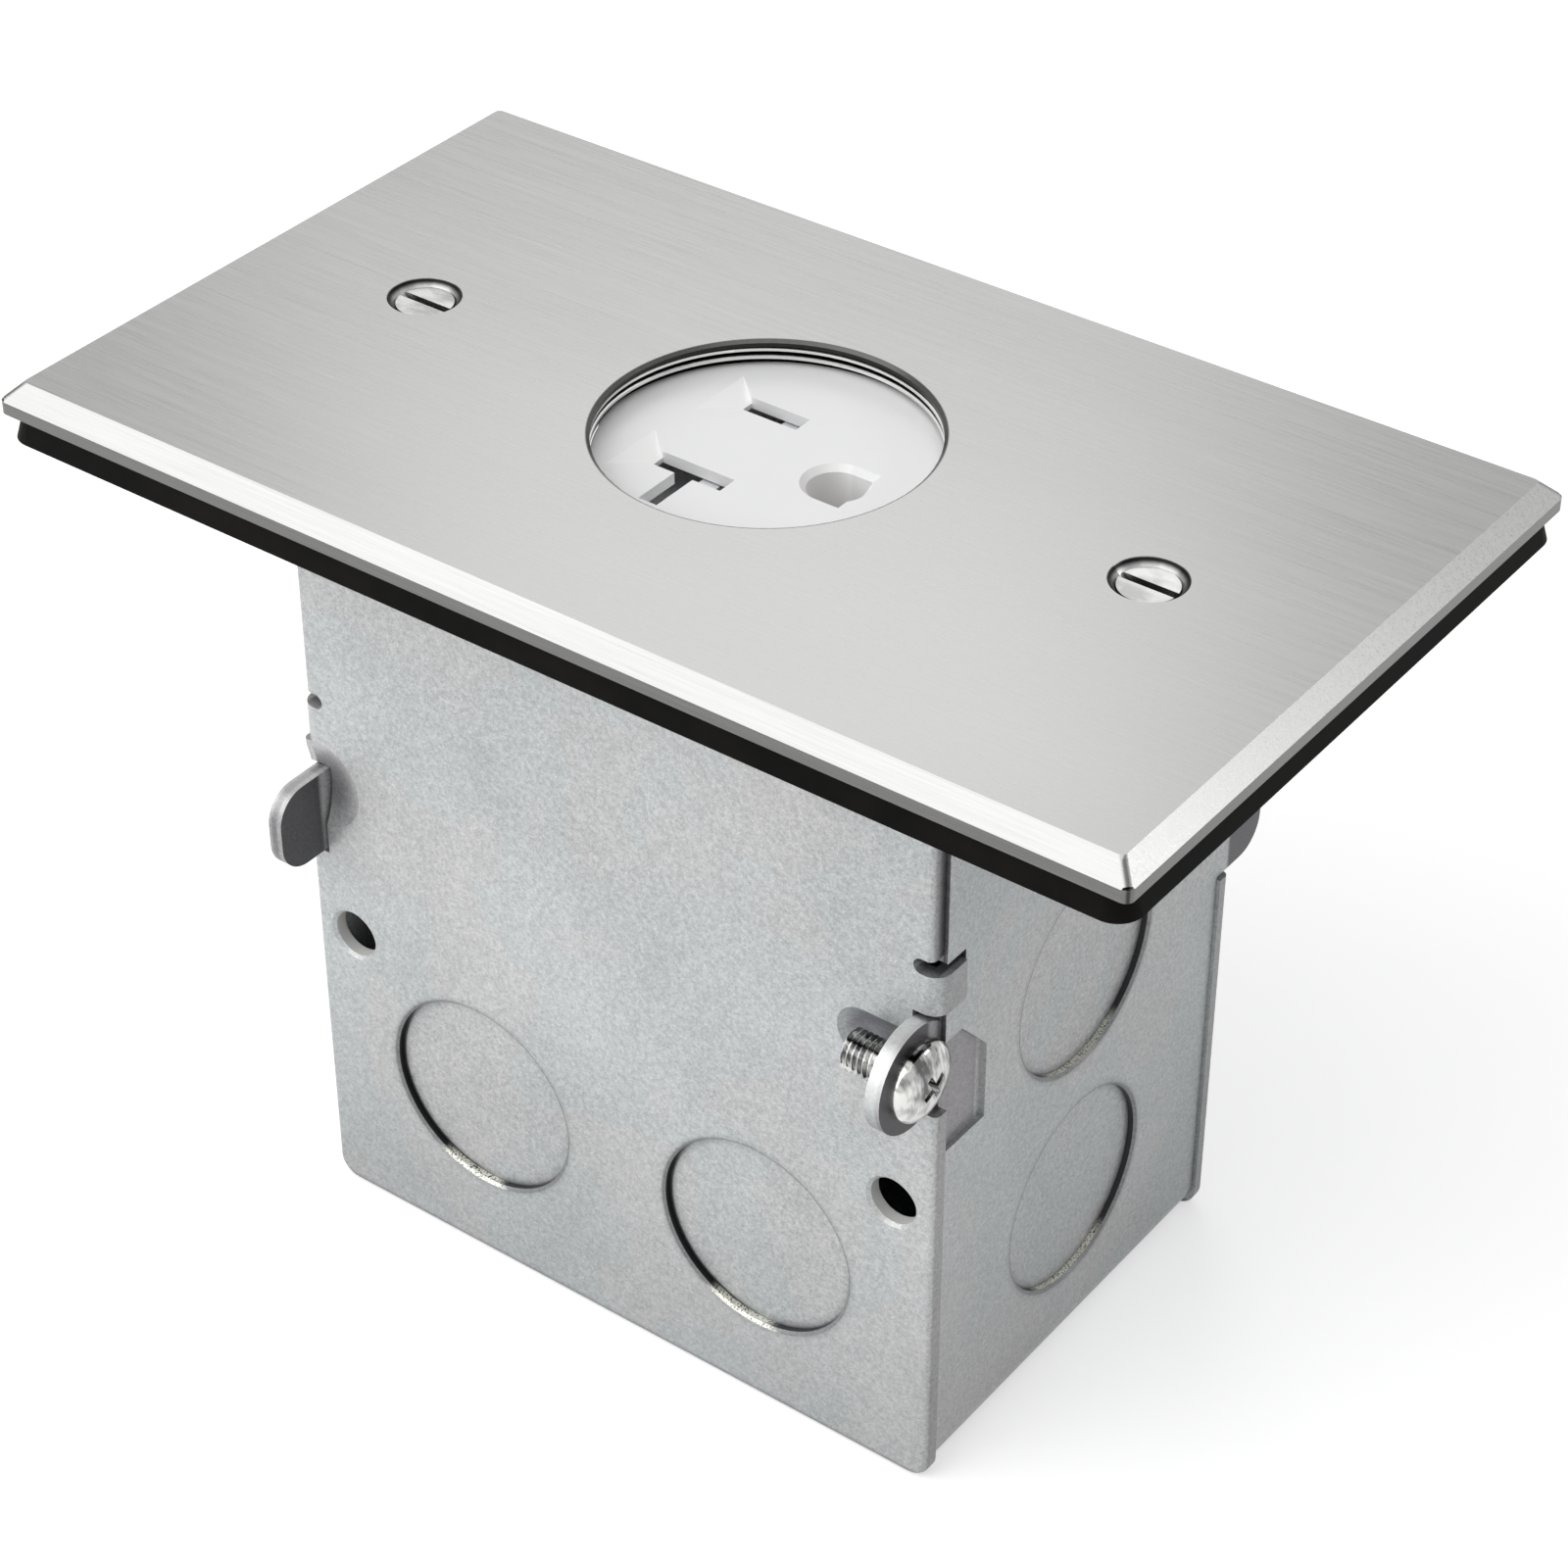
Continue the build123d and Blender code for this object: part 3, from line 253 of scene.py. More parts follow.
def blackRubber():
    g = Graph(bpy.data.materials.new("blackRubber"))
    look = rubberLook
    cloud = g.noise(g.place(), 120, 3.0, 0.6)
    grit = g.noise(g.place(), 2200, 2.0, 0.6)
    colour = g.mix(g.ramp(cloud, (0.35, 0), (0.75, 1)), look["dark"], look["bloom"])
    return g.finish(Base_Color=colour, Roughness=(cloud - 0.5) * 0.2 + look["roughness"],
                    Specular_IOR_Level=0.05, Normal=g.bump(grit, 0.12, mm(0.05)))


# Zinc coat: fine speckle over soft clouds of a bluish and a warmer grey
zincLook = {
    "dull": shade(0.30, 0.31, 0.313), "bright": shade(0.74, 0.75, 0.748),
    "blue": shade(0.955, 0.985, 1.0), "warm": shade(1.0, 0.985, 0.985),
    "cloud": 0.45, "mottle": 1.15, "speck": 1.0,
    "roughness": 0.42, "metal": 0.36,
    "foot": shade(0.80, 0.80, 0.80), "footZ": mm(1, 40),
    "rim": shade(0.60, 0.60, 0.61), "rimZ": mm(0.5, 1.1),
}


def zincCoat(g):
    look = zincLook
    where = g.place()
    cloud = g.noise(where, 45, 3.0, 0.6, 0.5)
    hue = g.noise(where, 70, 2.0, 0.5, 0.3)
    mottle = g.noise(where, 2300, 3.0, 0.6, 0.2)
    speck = g.noise(where, 5200, 2.0, 0.6)
    tone = (cloud - 0.5) * look["cloud"] + (mottle - 0.5) * look["mottle"]
    tone = tone + (speck - 0.5) * look["speck"] + 0.5
    colour = g.mix(tone.clamp(), look["dull"], look["bright"])
    colour = g.tint(1.0, colour, g.mix(g.rise(hue, 0.4, 0.6), look["blue"], look["warm"]))
    colour = g.tint(g.fall(g.axis(2), *look["footZ"]), colour, look["foot"])      # darker towards the bottom
    # a darker line along the bottom edge
    colour = g.tint(g.fall(g.axis(2), *look["rimZ"]), colour, look["rim"])
    rough = (mottle - 0.5) * 0.25 + (cloud - 0.5) * 0.10 + look["roughness"]
    g.finish(Metallic=look["metal"], Roughness=rough,
             Normal=g.bump(mottle * 0.6 + speck * 0.4, 0.10, mm(0.08)))
    return colour, speck


# Knockouts: painted shade in a soft dish and along a line round the rim, painted shade on the sheared wall
# and a painted highlight on the burr
knockoutLook = {
    "radius": mm(11.1), "dishShade": shade(0.84, 0.84, 0.84), "dishWidth": mm(0.3, 1.2),
    "rimLineShade": shade(0.60, 0.60, 0.61), "lineOut": mm(0.1), "lineWidth": mm(0.14, 0.42),
    "wall": shade(0.14, 0.14, 0.15), "wallWidth": mm(0.30, 0.55),
    "burrHighlight": shade(0.92, 0.92, 0.82),
}


# Tints the sheet round one knockout, from the way past its rim, and masks the places near its wall
def knockoutRim(g, colour, past):
    look = knockoutLook
    # painted shade in a dish across the rim and along a line just outside it
    colour = g.tint(g.fall(abs(past), *look["dishWidth"]), colour, look["dishShade"])
    colour = g.tint(g.fall(abs(past - look["lineOut"]), *look["lineWidth"]), colour, look["rimLineShade"])
    return colour, g.fall(abs(past), *look["wallWidth"])


# Side plates: each knockout has a painted shadow along its left and a painted highlight on the burr
# at its foot, and the dents beside the ears carry painted shade
sidePlateLook = {
    "cutEdge": shade(0.72, 0.70, 0.70), "cutFacing": (0.35, 0.75),
    "knockoutX": mm(17.3), "knockoutZ": mm(21.0),
    "crescentRise": mm(-0.52, -0.22), "crescentFall": mm(0, 0.04), "crescentSide": mm(4, 9),
    "crescentLean": 0.5,
    "burrOut": mm(0.18), "burrWidth": mm(0.14, 0.25), "burrLeft": 0.156, "burrUp": -0.988,
    "burrReach": mm(10.25, 10.9), "burrFlecks": (0.38, 0.50),
    "holeX": mm(33.3), "holeZ": mm(34.3), "holeRadius": mm(2.85, 3.0), "litHoleWall": shade(0.95, 0.95, 0.92),
    "face": mm(25.4), "dentShade": shade(0.34, 0.33, 0.36), "dentDepth": mm(0.1, 1.3), "dentZ": mm(42, 44),
    "tabX": mm(37.3, 37.6),
}


def sidePlateZinc():
    g = Graph(bpy.data.materials.new("sidePlateZinc"))
    look, knockout = sidePlateLook, knockoutLook
    colour, speck = zincCoat(g)
    cut = g.fall(abs(g.normal(1)), *look["cutFacing"])
    turned = -1 * g.axis(0) * g.side(g.axis(1))                # the back plate is turned half round
    left = g.side(turned) * look["knockoutX"] - turned
    up = g.axis(2) - look["knockoutZ"]
    past = g.reach(left, up) - knockout["radius"]
    colour, near = knockoutRim(g, colour, past)
    # painted shadow along the left of each knockout
    crescentShade = g.band(past, look["crescentRise"], look["crescentFall"])
    crescentShade = crescentShade * g.rise(left - look["crescentLean"] * up, *look["crescentSide"])
    colour = g.tint(crescentShade.clamp(), colour, knockout["wall"])
    # cut edges are a little darker; near a knockout they take the painted shade of its wall
    colour = g.tint(cut, colour, g.mix(near, look["cutEdge"], knockout["wall"]))
    # painted highlight on the burr, on the lower side of each knockout
    outer = g.fall(abs(past - look["burrOut"]), *look["burrWidth"]) * (1 - cut)
    litLowSide = g.rise(look["burrLeft"] * left + look["burrUp"] * up, *look["burrReach"])
    burrHighlight = (cut * near + outer) * litLowSide * g.rise(speck, *look["burrFlecks"])
    colour = g.mix(burrHighlight.clamp(), colour, knockout["burrHighlight"])
    # painted light on the walls of each fixing hole
    hole = g.fall(g.reach(abs(g.axis(0)) - look["holeX"], g.axis(2) - look["holeZ"]), *look["holeRadius"])
    colour = g.mix((hole * cut).clamp(), colour, look["litHoleWall"])
    # painted shade in the dents beside the ears
    sunkShade = g.rise(look["face"] - abs(g.axis(1)), *look["dentDepth"]) * g.rise(g.axis(2), *look["dentZ"])
    sunkShade = sunkShade * g.fall(abs(g.axis(0)), *look["tabX"])        # not on the bent tabs
    return g.finish(Base_Color=g.tint(sunkShade.clamp(), colour, look["dentShade"]))


# Box body: the same coat, with painted shade in the pockets and on the ears' faces, and on the ears' rims a
# painted highlight at the top and painted shade below
boxBodyLook = {
    "face": mm(37.7), "cutFacing": (0.35, 0.75), "flatFacing": (0.5, 0.85),
    "knockoutZ": mm(19.9, 47.7), "wallDepth": mm(0.15, 0.3),
    "burrLow": mm(8.8, 10.2), "burrFlecks": (0.35, 0.5),
    "pocket": shade(0.62, 0.59, 0.61), "pocketZ": mm(41, 42), "pocketY": mm(17.6, 18),
    "pocketRise": mm(0.2, 0.5), "pocketFall": mm(0.9, 1.2),
    "slopeShade": shade(0.28, 0.27, 0.28), "slopeRise": mm(0.03, 0.08), "slopeFall": mm(0.5, 0.57),
    "slopeY": mm(24, 24.4),
    "earY": mm(25.3, 26.0), "earTop": mm(50, 56), "earFaceShade": shade(0.17, 0.165, 0.175),
    "earRimHighlight": shade(1.0, 1.0, 0.98), "earRimShare": 0.5, "earRimShade": shade(0.62, 0.62, 0.62),
}


def boxBodyZinc():
    g = Graph(bpy.data.materials.new("boxBodyZinc"))
    look, knockout = boxBodyLook, knockoutLook
    colour, speck = zincCoat(g)
    away = abs(g.axis(1))
    depth = look["face"] - abs(g.axis(0))
    facing = abs(g.normal(0))
    wall = g.rise(depth, *look["wallDepth"]) * g.fall(facing, *look["cutFacing"])
    # painted shade on each knockout's wall and a painted highlight on the burr at its foot
    for centreZ in look["knockoutZ"]:
        up = g.axis(2) - centreZ
        colour, near = knockoutRim(g, colour, g.reach(away, up) - knockout["radius"])
        colour = g.tint((wall * near).clamp(), colour, knockout["wall"])
        burrHighlight = wall * near * g.rise(-1 * up, *look["burrLow"]) * g.rise(speck, *look["burrFlecks"])
        colour = g.mix(burrHighlight.clamp(), colour, knockout["burrHighlight"])
    # painted shade in the pockets beside the ears, darkest along their sloping wall
    pocket = g.rise(away, *look["pocketY"]) * g.rise(g.axis(2), *look["pocketZ"])
    colour = g.tint(pocket * g.band(depth, look["pocketRise"], look["pocketFall"]), colour, look["pocket"])
    slopeShade = pocket * g.fall(away, *look["slopeY"]) * g.band(depth, look["slopeRise"], look["slopeFall"])
    colour = g.tint(slopeShade.clamp(), colour, look["slopeShade"])
    flat = g.rise(facing, *look["flatFacing"])
    ear = g.rise(away, *look["earY"])
    rim = (ear * (1 - flat)).clamp()
    litTop = g.rise(g.axis(2), *look["earTop"])                   # painted highlight on the top of the rim, painted shade below it
    colour = g.tint(rim * (1 - litTop), colour, look["earRimShade"])
    colour = g.mix(rim * litTop * look["earRimShare"], colour, look["earRimHighlight"])
    return g.finish(Base_Color=g.tint((ear * flat).clamp(), colour, look["earFaceShade"]))


# Turned and plated screws
screwLook = {"dark": shade(0.12, 0.12, 0.12), "light": shade(0.72, 0.72, 0.70), "roughness": 0.14}
coverScrewLook = {"dark": shade(0.28, 0.28, 0.275), "light": shade(0.47, 0.47, 0.46), "roughness": 0.24,
                  "slot": shade(0.45, 0.45, 0.44), "slotRise": mm(0.15, 0.65), "slotFall": mm(0.95, 1.2)}


def screwSteel(name, look, headTop=None):
    g = Graph(bpy.data.materials.new(name))
    lathe = g.noise(g.place((500, 1800, 500)), 1.0, 3.0, 0.6)
    cloud = g.noise(g.place(), 330, 2.0, 0.5)
    tone = g.ramp(lathe * 0.35 + cloud * 0.65, (0.38, 0), (0.56, 1))
    colour = g.mix(tone, look["dark"], look["light"])
    if headTop:                                                # painted shade in the slot
        slot = g.band(headTop - g.axis(2), look["slotRise"], look["slotFall"])
        colour = g.tint(slot.clamp(), colour, look["slot"])
    return g.finish(Base_Color=colour, Metallic=1.0, Roughness=(lathe - 0.5) * 0.25 + look["roughness"],
                    Normal=g.bump(lathe, 0.06, mm(0.04)))


# Moulded thermoplastic, the same recipe for each colour; on the face, the lead-ins that face +X carry a
# painted highlight
def mouldedPlastic(name, colour, shadow, roughness, facetHighlight=None):
    g = Graph(bpy.data.materials.new(name))
    cloud = g.noise(g.place(), 60, 3.0, 0.55)
    skin = g.noise(g.place(), 2400, 2.0, 0.5)
    colour = g.mix(g.ramp(cloud, (0.3, 0), (0.7, 1)), shadow, colour)
    # painted highlight on the slopes that face +X
    if facetHighlight:
        colour = g.mix(g.rise(g.normal(0), 0.05, 0.15), colour, facetHighlight)
    return g.finish(Base_Color=colour, Roughness=(skin - 0.5) * 0.12 + roughness,
                    Normal=g.bump(skin, 0.05, mm(0.03)))


# Sheet or turned metal of one colour with rubbed and dull places
def rubbedMetal(name, colour, shadow, roughness):
    g = Graph(bpy.data.materials.new(name))
    cloud = g.noise(g.place(), 180, 4.0, 0.6)
    rolled = g.noise(g.place((900, 900, 160)), 1.0, 3.0, 0.6)
    tone = g.ramp(cloud * 0.6 + rolled * 0.4, (0.35, 0), (0.65, 1))
    return g.finish(Base_Color=g.mix(tone, shadow, colour), Metallic=1.0,
                    Roughness=(rolled - 0.5) * 0.25 + roughness, Normal=g.bump(rolled, 0.06, mm(0.04)))


finishes = {
    "brushed_stainless": brushedStainless(),
    "bright_chrome": brightChrome(),
    "black_rubber": blackRubber(),
    "screw_steel": screwSteel("screwSteel", screwLook),
    "galvanised_steel": sidePlateZinc(),
    "white_plastic": mouldedPlastic("whiteFace", shade(0.88, 0.88, 0.88), shade(0.85, 0.85, 0.855),
                                    0.36, shade(0.97, 0.97, 0.965)),
    "base_plastic": mouldedPlastic("baseBody", shade(0.66, 0.66, 0.65), shade(0.60, 0.60, 0.59), 0.5),
    "shutter_plastic": mouldedPlastic("greyShutter", shade(0.78, 0.79, 0.81), shade(0.73, 0.74, 0.76),
                                      0.45),
    "brass": rubbedMetal("contactBrass", shade(0.76, 0.56, 0.26), shade(0.60, 0.42, 0.17), 0.30),
    "nickel_plate": rubbedMetal("nickelPlate", shade(0.68, 0.66, 0.62), shade(0.50, 0.49, 0.46), 0.25),
    "green_steel": rubbedMetal("greenScrew", shade(0.05, 0.36, 0.13), shade(0.02, 0.20, 0.06), 0.30),
    "spring_steel": rubbedMetal("springWire", shade(0.50, 0.50, 0.51), shade(0.34, 0.34, 0.35), 0.28),
}
slotOf = {part["node"]: part["material_slot"] for part in frame["record"]["subparts"]}
for name, node in frame["nodes"].items():
    node.data.materials.clear()
    node.data.materials.append(finishes[slotOf[name]])
coverScrewSteel = screwSteel("coverScrewSteel", coverScrewLook, coverScrewTop)
frame["nodes"]["cover_screws"].data.materials[0] = coverScrewSteel
frame["nodes"]["box_body"].data.materials[0] = boxBodyZinc()
print("finishes set on", len(frame["nodes"]), "nodes")


# Modelling helpers, used as by hand: everything deselected, one primitive, edit mode
def clearSelection():
    if bpy.context.object and bpy.context.object.mode != "OBJECT":
        bpy.ops.object.mode_set(mode="OBJECT")
    bpy.ops.object.select_all(action="DESELECT")


def startProfile(name, points):
    clearSelection()
    bpy.ops.mesh.primitive_plane_add(size=mm(0.1), location=(0, 0, 0))
    piece = bpy.context.object
    piece.name = name
    piece.data.name = name
    bpy.ops.object.mode_set(mode="EDIT")
    bpy.ops.mesh.select_mode(type="VERT")
    bpy.ops.mesh.select_all(action="SELECT")
    bpy.ops.mesh.merge(type="CENTER")
    bpy.ops.transform.translate(value=points[0])
    for last, point in zip(points, points[1:]):
        step = Vector(point) - Vector(last)
        bpy.ops.mesh.extrude_region_move(TRANSFORM_OT_translate={"value": step})
    bpy.ops.object.mode_set(mode="OBJECT")
    return piece


def applyModifier(piece, kind, **settings):
    modifier = piece.modifiers.new(kind.lower(), kind)
    for key, value in settings.items():
        setattr(modifier, key, value)
    bpy.context.view_layer.objects.active = piece
    bpy.ops.object.modifier_apply(modifier=modifier.name)


def cutAt(point, normal, fill=False):
    bpy.ops.object.mode_set(mode="EDIT")
    bpy.ops.mesh.select_all(action="SELECT")
    bpy.ops.mesh.bisect(plane_co=point, plane_no=normal, use_fill=fill, clear_outer=True)
    bpy.ops.object.mode_set(mode="OBJECT")


def tidyMesh(angle=35):
    bpy.ops.object.mode_set(mode="EDIT")
    bpy.ops.mesh.select_all(action="SELECT")
    bpy.ops.mesh.remove_doubles(threshold=mm(0.002))
    bpy.ops.mesh.normals_make_consistent(inside=False)
    bpy.ops.object.mode_set(mode="OBJECT")
    bpy.ops.object.shade_smooth_by_angle(angle=math.radians(angle))


# Winds one turn of a thread's profile up Z, past both ends of the length
def windThread(piece, pitch, length, steps):
    turns = math.ceil(length / pitch) + 2
    applyModifier(piece, "SCREW", angle=2 * math.pi, screw_offset=pitch, iterations=turns, axis="Z",
                  steps=steps, render_steps=steps, use_merge_vertices=True, merge_threshold=mm(0.001))


def placeMesh(piece, matrix):
    piece.data.transform(matrix)
    piece.data.update()


def spinProfile(steps):
    bpy.ops.object.mode_set(mode="EDIT")
    bpy.ops.mesh.select_all(action="SELECT")
    bpy.ops.mesh.spin(steps=steps, angle=2 * math.pi, center=(0, 0, 0), axis=(0, 0, 1))
    bpy.ops.object.mode_set(mode="OBJECT")


def joinPieces(pieces, name):
    clearSelection()
    for piece in pieces:
        piece.select_set(True)
    bpy.context.view_layer.objects.active = pieces[0]
    bpy.ops.object.join()
    whole = bpy.context.object
    whole.name = name
    whole.data.name = name
    return whole


def copyTurned(piece, name, matrix):
    twin = piece.copy()
    twin.data = piece.data.copy()
    twin.name = name
    bpy.context.collection.objects.link(twin)
    placeMesh(twin, matrix)
    return twin


def handOver(piece, finish, body, *nodes):
    piece.data.materials.clear()
    piece.data.materials.append(finishes[finish])
    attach(piece, body)
    if nodes:
        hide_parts(*nodes)


# Cap ring: a real helical thread in a turned ring
ringLook = {"crest": 16.45, "depth": 0.40, "pitch": 0.85, "crestFlat": 0.28, "rootFlat": (0.8, 1.2),
            "outer": 18.3, "steps": 120}


def makeCapRing():
    look = ringLook
    low, high = ringLow.z, ringHigh.z
    pitch, crest = mm(look["pitch"]), mm(look["crest"])
    root, flat = mm(look["crest"] + look["depth"]), mm(look["crestFlat"])
    flank = (pitch - flat) * 0.5
    startZ = low - pitch
    rootStart, rootEnd = look["rootFlat"]
    points = [(crest, 0, startZ), (crest, 0, startZ + flat), (root, 0, startZ + flat + flank * rootStart),
              (root, 0, startZ + flat + flank * rootEnd), (crest, 0, startZ + pitch)]
    ring = startProfile("capRing", points)
    windThread(ring, pitch, high - low, look["steps"])
    cutAt((0, 0, high), (0, 0, 1))
    cutAt((0, 0, low), (0, 0, -1))
    bpy.ops.object.mode_set(mode="EDIT")
    bpy.ops.mesh.select_mode(type="EDGE")
    bpy.ops.mesh.select_all(action="DESELECT")
    bpy.ops.mesh.select_non_manifold()
    bpy.ops.mesh.extrude_edges_move()
    mesh = bmesh.from_edit_mesh(ring.data)
    for vert in [vert for vert in mesh.verts if vert.select]:
        stretch = mm(look["outer"]) / math.hypot(vert.co.x, vert.co.y)
        vert.co.x *= stretch
        vert.co.y *= stretch
    bmesh.update_edit_mesh(ring.data)
    bpy.ops.mesh.bridge_edge_loops()
    bpy.ops.object.mode_set(mode="OBJECT")
    tidyMesh(30)
    handOver(ring, "bright_chrome", housing, "threaded_ring")


makeCapRing()
print("cap ring made")


# Side screws: pan heads with a cross recess and a rolled thread, one at each of two corners
sideScrew = {"head": 4.1, "headHeight": 2.2, "rim": 0.7, "domeSteps": 7, "steps": 40,
             "shank": 2.08, "root": 1.68, "pitch": 0.6, "profile": (0.2, 0.5, 0.6), "length": 6.9,
             "recess": 2.2, "recessWidth": 1.0, "recessDepth": 1.2, "recessTaper": 0.45, "turn": 0.5}


def makeSideScrews():
    look = sideScrew
    headR, headH = mm(look["head"]), mm(look["headHeight"])
    rimH, quarter = mm(look["rim"]), math.pi / 2 / look["domeSteps"]
    dome = [(headR * math.cos(step * quarter), 0, rimH + (headH - rimH) * math.sin(step * quarter))
            for step in range(look["domeSteps"])]
    head = startProfile("screwHead", [(0, 0, mm(-0.2)), (headR, 0, 0), *dome, (0, 0, headH)])
    spinProfile(look["steps"])
    tidyMesh()
    cutRecess(head, headH)
    pitch, crest, root = mm(look["pitch"]), mm(look["shank"]), mm(look["root"])
    start = mm(-look["length"]) - pitch
    rootEnd, crestStart, crestEnd = [start + pitch * share for share in look["profile"]]
    shank = startProfile("screwShank", [(root, 0, start), (root, 0, rootEnd), (crest, 0, crestStart),
                                        (crest, 0, crestEnd), (root, 0, start + pitch)])
    windThread(shank, pitch, mm(look["length"]), look["steps"])
    cutAt((0, 0, mm(0.1)), (0, 0, 1), fill=True)
    cutAt((0, 0, mm(-look["length"])), (0, 0, -1), fill=True)
    tidyMesh(40)
    screw = joinPieces([head, shank], "sideScrewFront")
    seatX = screwHigh.x - headH
    seat = Vector((seatX, screwLow.y + headR, (screwLow.z + screwHigh.z) / 2))
    placeMesh(screw, Matrix.Translation(seat) @ Matrix.Rotation(math.pi / 2, 4, "Y")
              @ Matrix.Rotation(look["turn"], 4, "Z"))
    twin = copyTurned(screw, "sideScrewBack", Matrix.Rotation(math.pi, 4, "Z"))
    handOver(screw, "screw_steel", housing, "side_screws")
    handOver(twin, "screw_steel", housing, "side_screws")


def cutRecess(head, headH):
    look = sideScrew
    arms = []
    for turn in (0, math.pi / 2):
        clearSelection()
        bpy.ops.mesh.primitive_cube_add(size=1, location=(0, 0, headH))
        arm = bpy.context.object
        placeMesh(arm, Matrix.Rotation(turn, 4, "Z") @ Matrix.Diagonal(
            (mm(2 * look["recess"]), mm(look["recessWidth"]), mm(2 * look["recessDepth"]), 1)))
        bpy.ops.object.mode_set(mode="EDIT")
        mesh = bmesh.from_edit_mesh(arm.data)
        for face in mesh.faces:
            face.select = face.normal.z < -0.5
        bmesh.update_edit_mesh(arm.data)
        bpy.ops.transform.resize(value=(look["recessTaper"], look["recessTaper"], 1))
        bpy.ops.object.mode_set(mode="OBJECT")
        bpy.ops.object.transform_apply(location=True, rotation=True, scale=True)
        arms.append(arm)
    for arm in arms:
        applyModifier(head, "BOOLEAN", operation="DIFFERENCE", solver="EXACT", object=arm)
        bpy.data.objects.remove(arm)
    clearSelection()
    head.select_set(True)
    bpy.context.view_layer.objects.active = head
    tidyMesh()


makeSideScrews()
print("side screws made")


# Shutter springs: round wire wound round the X axis, held still on the housing
springLook = {"wire": 0.4, "pitch": 2.3, "wireSides": 10, "steps": 28, "keep": 0.5}


def makeSprings():
    look = springLook
    wire, pitch = mm(look["wire"] / 2), mm(look["pitch"])
    outer = (springHigh.z - springLow.z) / 2
    length = springHigh.x - springLow.x - 2 * wire
    clearSelection()
    bpy.ops.mesh.primitive_circle_add(vertices=look["wireSides"], radius=wire, fill_type="NGON",
                                      location=(0, 0, 0))
    spring = bpy.context.object
    bpy.ops.object.mode_set(mode="EDIT")
    bpy.ops.mesh.select_all(action="SELECT")
    bpy.ops.transform.rotate(value=math.pi / 2, orient_axis="X", center_override=(0, 0, 0))
    bpy.ops.transform.translate(value=(outer - wire, 0, 0))
    bpy.ops.mesh.delete(type="ONLY_FACE")
    bpy.ops.object.mode_set(mode="OBJECT")
    turns = length / pitch
    steps = round(look["steps"] * turns)
    applyModifier(spring, "SCREW", angle=2 * math.pi * turns, screw_offset=length, iterations=1,
                  axis="Z", steps=steps, render_steps=steps)
    bpy.ops.object.mode_set(mode="EDIT")
    bpy.ops.mesh.select_all(action="DESELECT")
    bpy.ops.mesh.select_mode(type="EDGE")
    bpy.ops.mesh.select_non_manifold()
    bpy.ops.mesh.fill_holes(sides=look["wireSides"])
    bpy.ops.object.mode_set(mode="OBJECT")
    tidyMesh(50)
    centre = Vector((springLow.x + wire, springLow.y + outer, (springLow.z + springHigh.z) / 2))
    placeMesh(spring, Matrix.Translation(centre) @ Matrix.Rotation(math.pi / 2, 4, "Y"))
    spring.name = "springLeft"
    spring.data.name = "springLeft"
    twin = copyTurned(spring, "springRight", Matrix.Translation((0, -2 * centre.y, 0)))
    for piece in (spring, twin):
        handOver(piece, "spring_steel", housing, "shutter_springs")
        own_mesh(piece)


makeSprings()
print("shutter springs made")


# White floor and surroundings: camera, gloss and glass see white, and the soft light falls off
# to the right
studio = {"floorSize": 6.0, "floorDark": shade(0.78, 0.78, 0.78), "floorLight": shade(0.82, 0.82, 0.82),
          "floorGlow": 0.50, "left": 0.60, "right": 0.12, "spread": 0.8}


def whiteRays(g):
    rays = [g.node("ShaderNodeLightPath", {}, {}, output=name)
            for name in ("Is Camera Ray", "Is Glossy Ray", "Is Transmission Ray")]
    return (rays[0] + rays[1] + rays[2]).clamp()


def makeFloor():
    clearSelection()
    bpy.ops.mesh.primitive_plane_add(size=studio["floorSize"], location=(0, 0, mm(-0.1)))
    floor = bpy.context.object
    floor.name = "paleFloor"
    g = Graph(bpy.data.materials.new("paleFloor"))
    grain = g.noise(g.place(), 3.0, 2.0)
    glow = g.mix(whiteRays(g), shade(0, 0, 0), shade(1, 1, 1))
    g.finish(Base_Color=g.mix(grain, studio["floorDark"], studio["floorLight"]), Roughness=0.9,
             Emission_Color=glow, Emission_Strength=studio["floorGlow"])
    floor.data.materials.append(g.material)


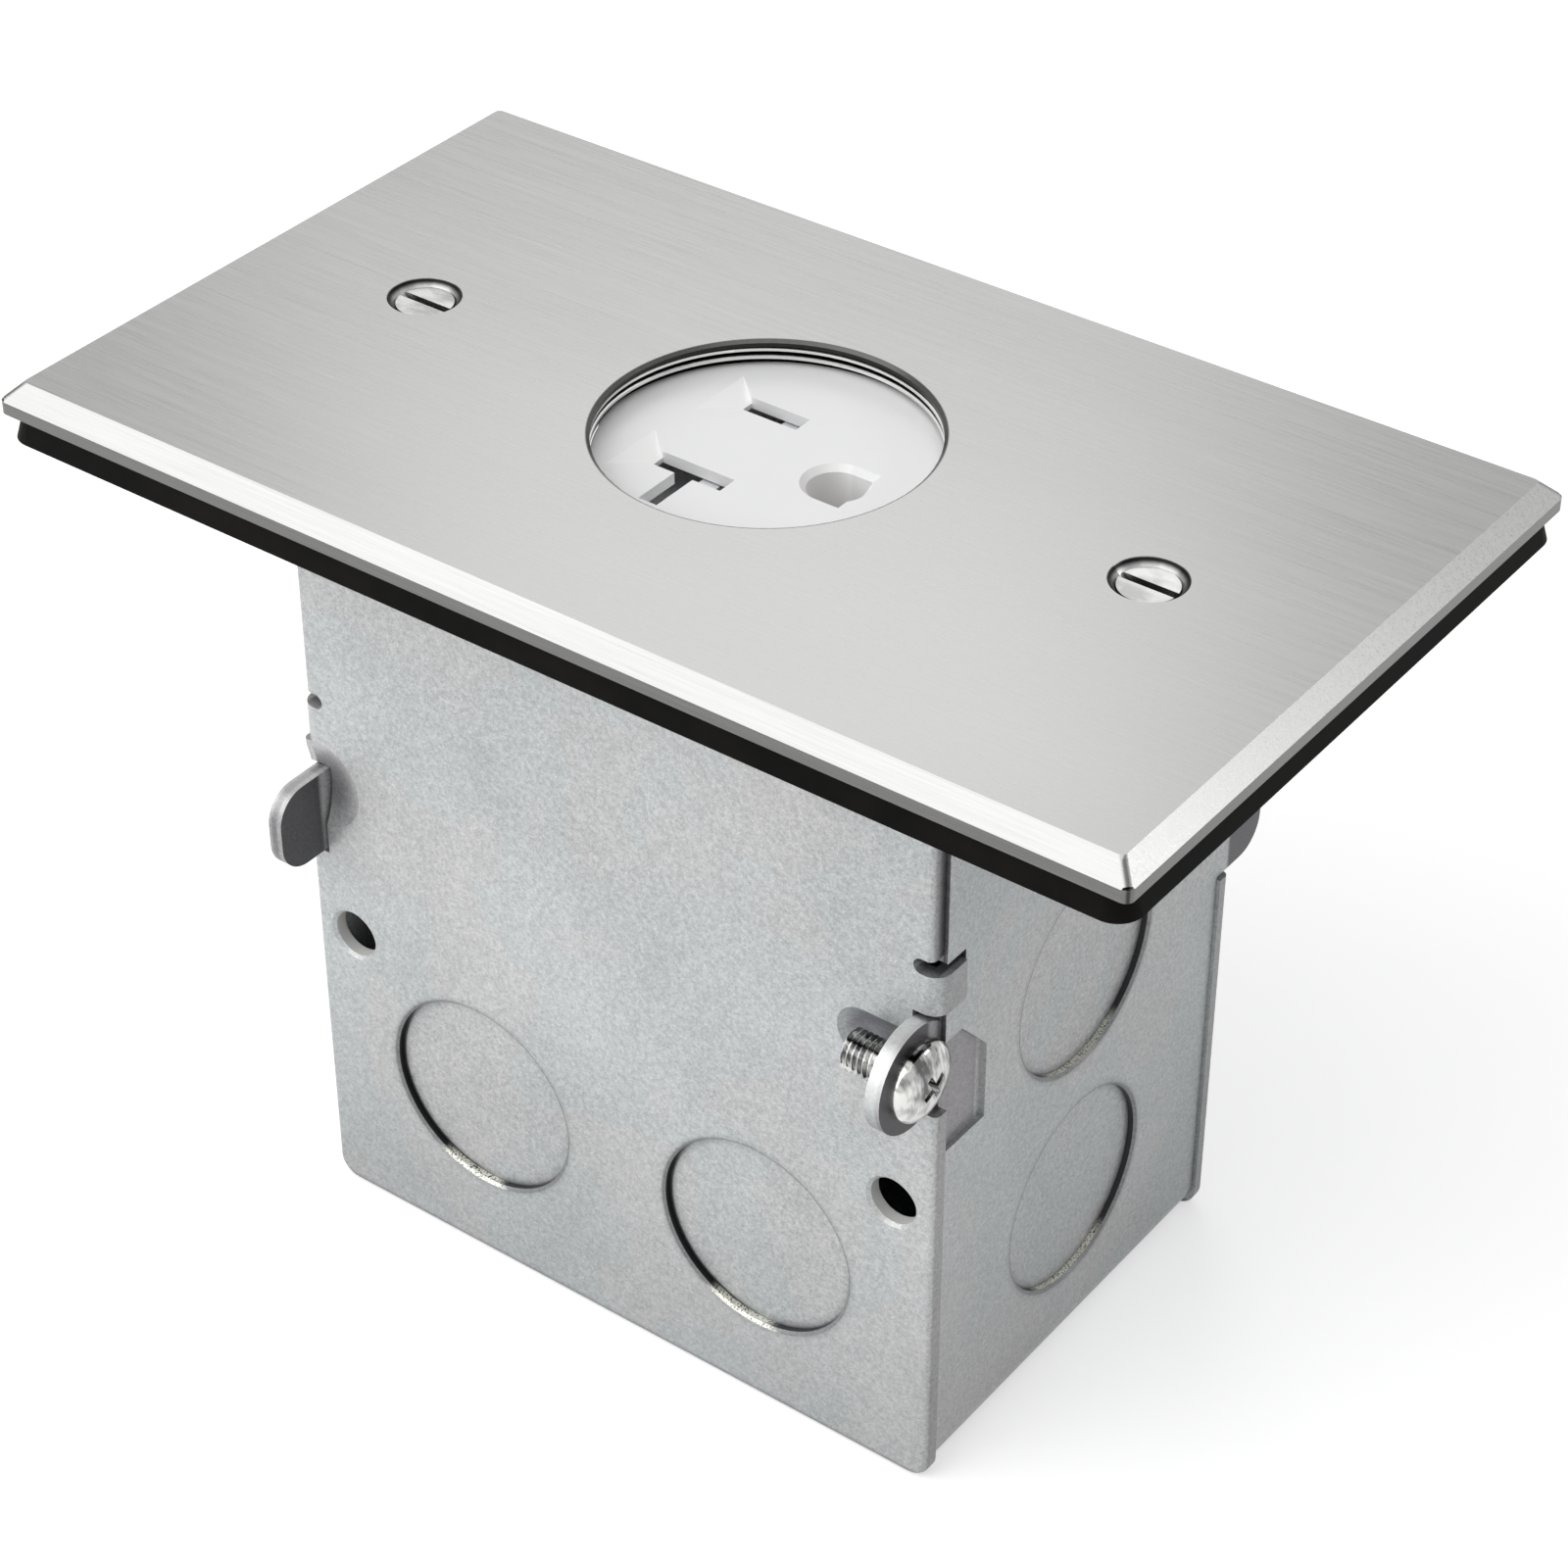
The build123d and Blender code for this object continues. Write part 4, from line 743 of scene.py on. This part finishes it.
def makeWorld():
    world = bpy.data.worlds.new("whiteStudio")
    bpy.context.scene.world = world
    g = Graph(world)
    where = g.node("ShaderNodeTexCoord", {}, {}, output=0)
    sideways = g.node("ShaderNodeSeparateXYZ", {}, {0: where})
    level = g.node("ShaderNodeMapRange", {}, {
        "Value": sideways, "From Min": -studio["spread"], "From Max": studio["spread"],
        "To Min": studio["left"], "To Max": studio["right"]})
    backdrop = g.tree.nodes["Background"]
    mask = whiteRays(g)
    g.plug(mask + (1 - mask) * level, backdrop.inputs["Strength"])
    backdrop.inputs["Color"].default_value = shade(1, 1, 1)


makeFloor()
makeWorld()
print("floor and surroundings made")


# Soft boxes, placed in mm round the part and aimed at the middle of it
lamps = {
    "frontBox": {"at": (-330, -500, 420), "size": 700, "power": 2.9},
    "topBox": {"at": (150, -260, 760), "size": 760, "power": 1.75},
    "rearBox": {"at": (-345, 455, 560), "size": 270, "power": 0.33},
    "sideBox": {"at": (505, 385, 380), "size": 150, "power": 0.36},
}


def makeLamps():
    middle = Vector(mm(0, 0, 60))
    for name, look in lamps.items():
        data = bpy.data.lights.new(name, "AREA")
        data.shape = "SQUARE"
        data.size = mm(look["size"])
        data.energy = look["power"]
        lamp = bpy.data.objects.new(name, data)
        bpy.context.collection.objects.link(lamp)
        lamp.location = mm(*look["at"])
        lamp.rotation_euler = (middle - lamp.location).to_track_quat("-Z", "Y").to_euler()


makeLamps()


# Camera at the photograph's angle, found from the plate's corners, its opening and the box's edges
cameraLook = {"lens": 91.04, "at": (188.5, -250.6, 284.9), "target": (1.95, 0.0, 53.9)}


def makeCamera():
    data = bpy.data.cameras.new("productCamera")
    data.lens = cameraLook["lens"]
    data.sensor_width = 36
    data.clip_start = 0.01
    camera = bpy.data.objects.new("productCamera", data)
    bpy.context.collection.objects.link(camera)
    camera.location = mm(*cameraLook["at"])
    aim = Vector(mm(*cameraLook["target"])) - camera.location
    camera.rotation_euler = aim.to_track_quat("-Z", "Y").to_euler()
    bpy.context.scene.camera = camera


makeCamera()
bpy.context.scene.view_settings.view_transform = "Standard"
print("camera and lamps set")
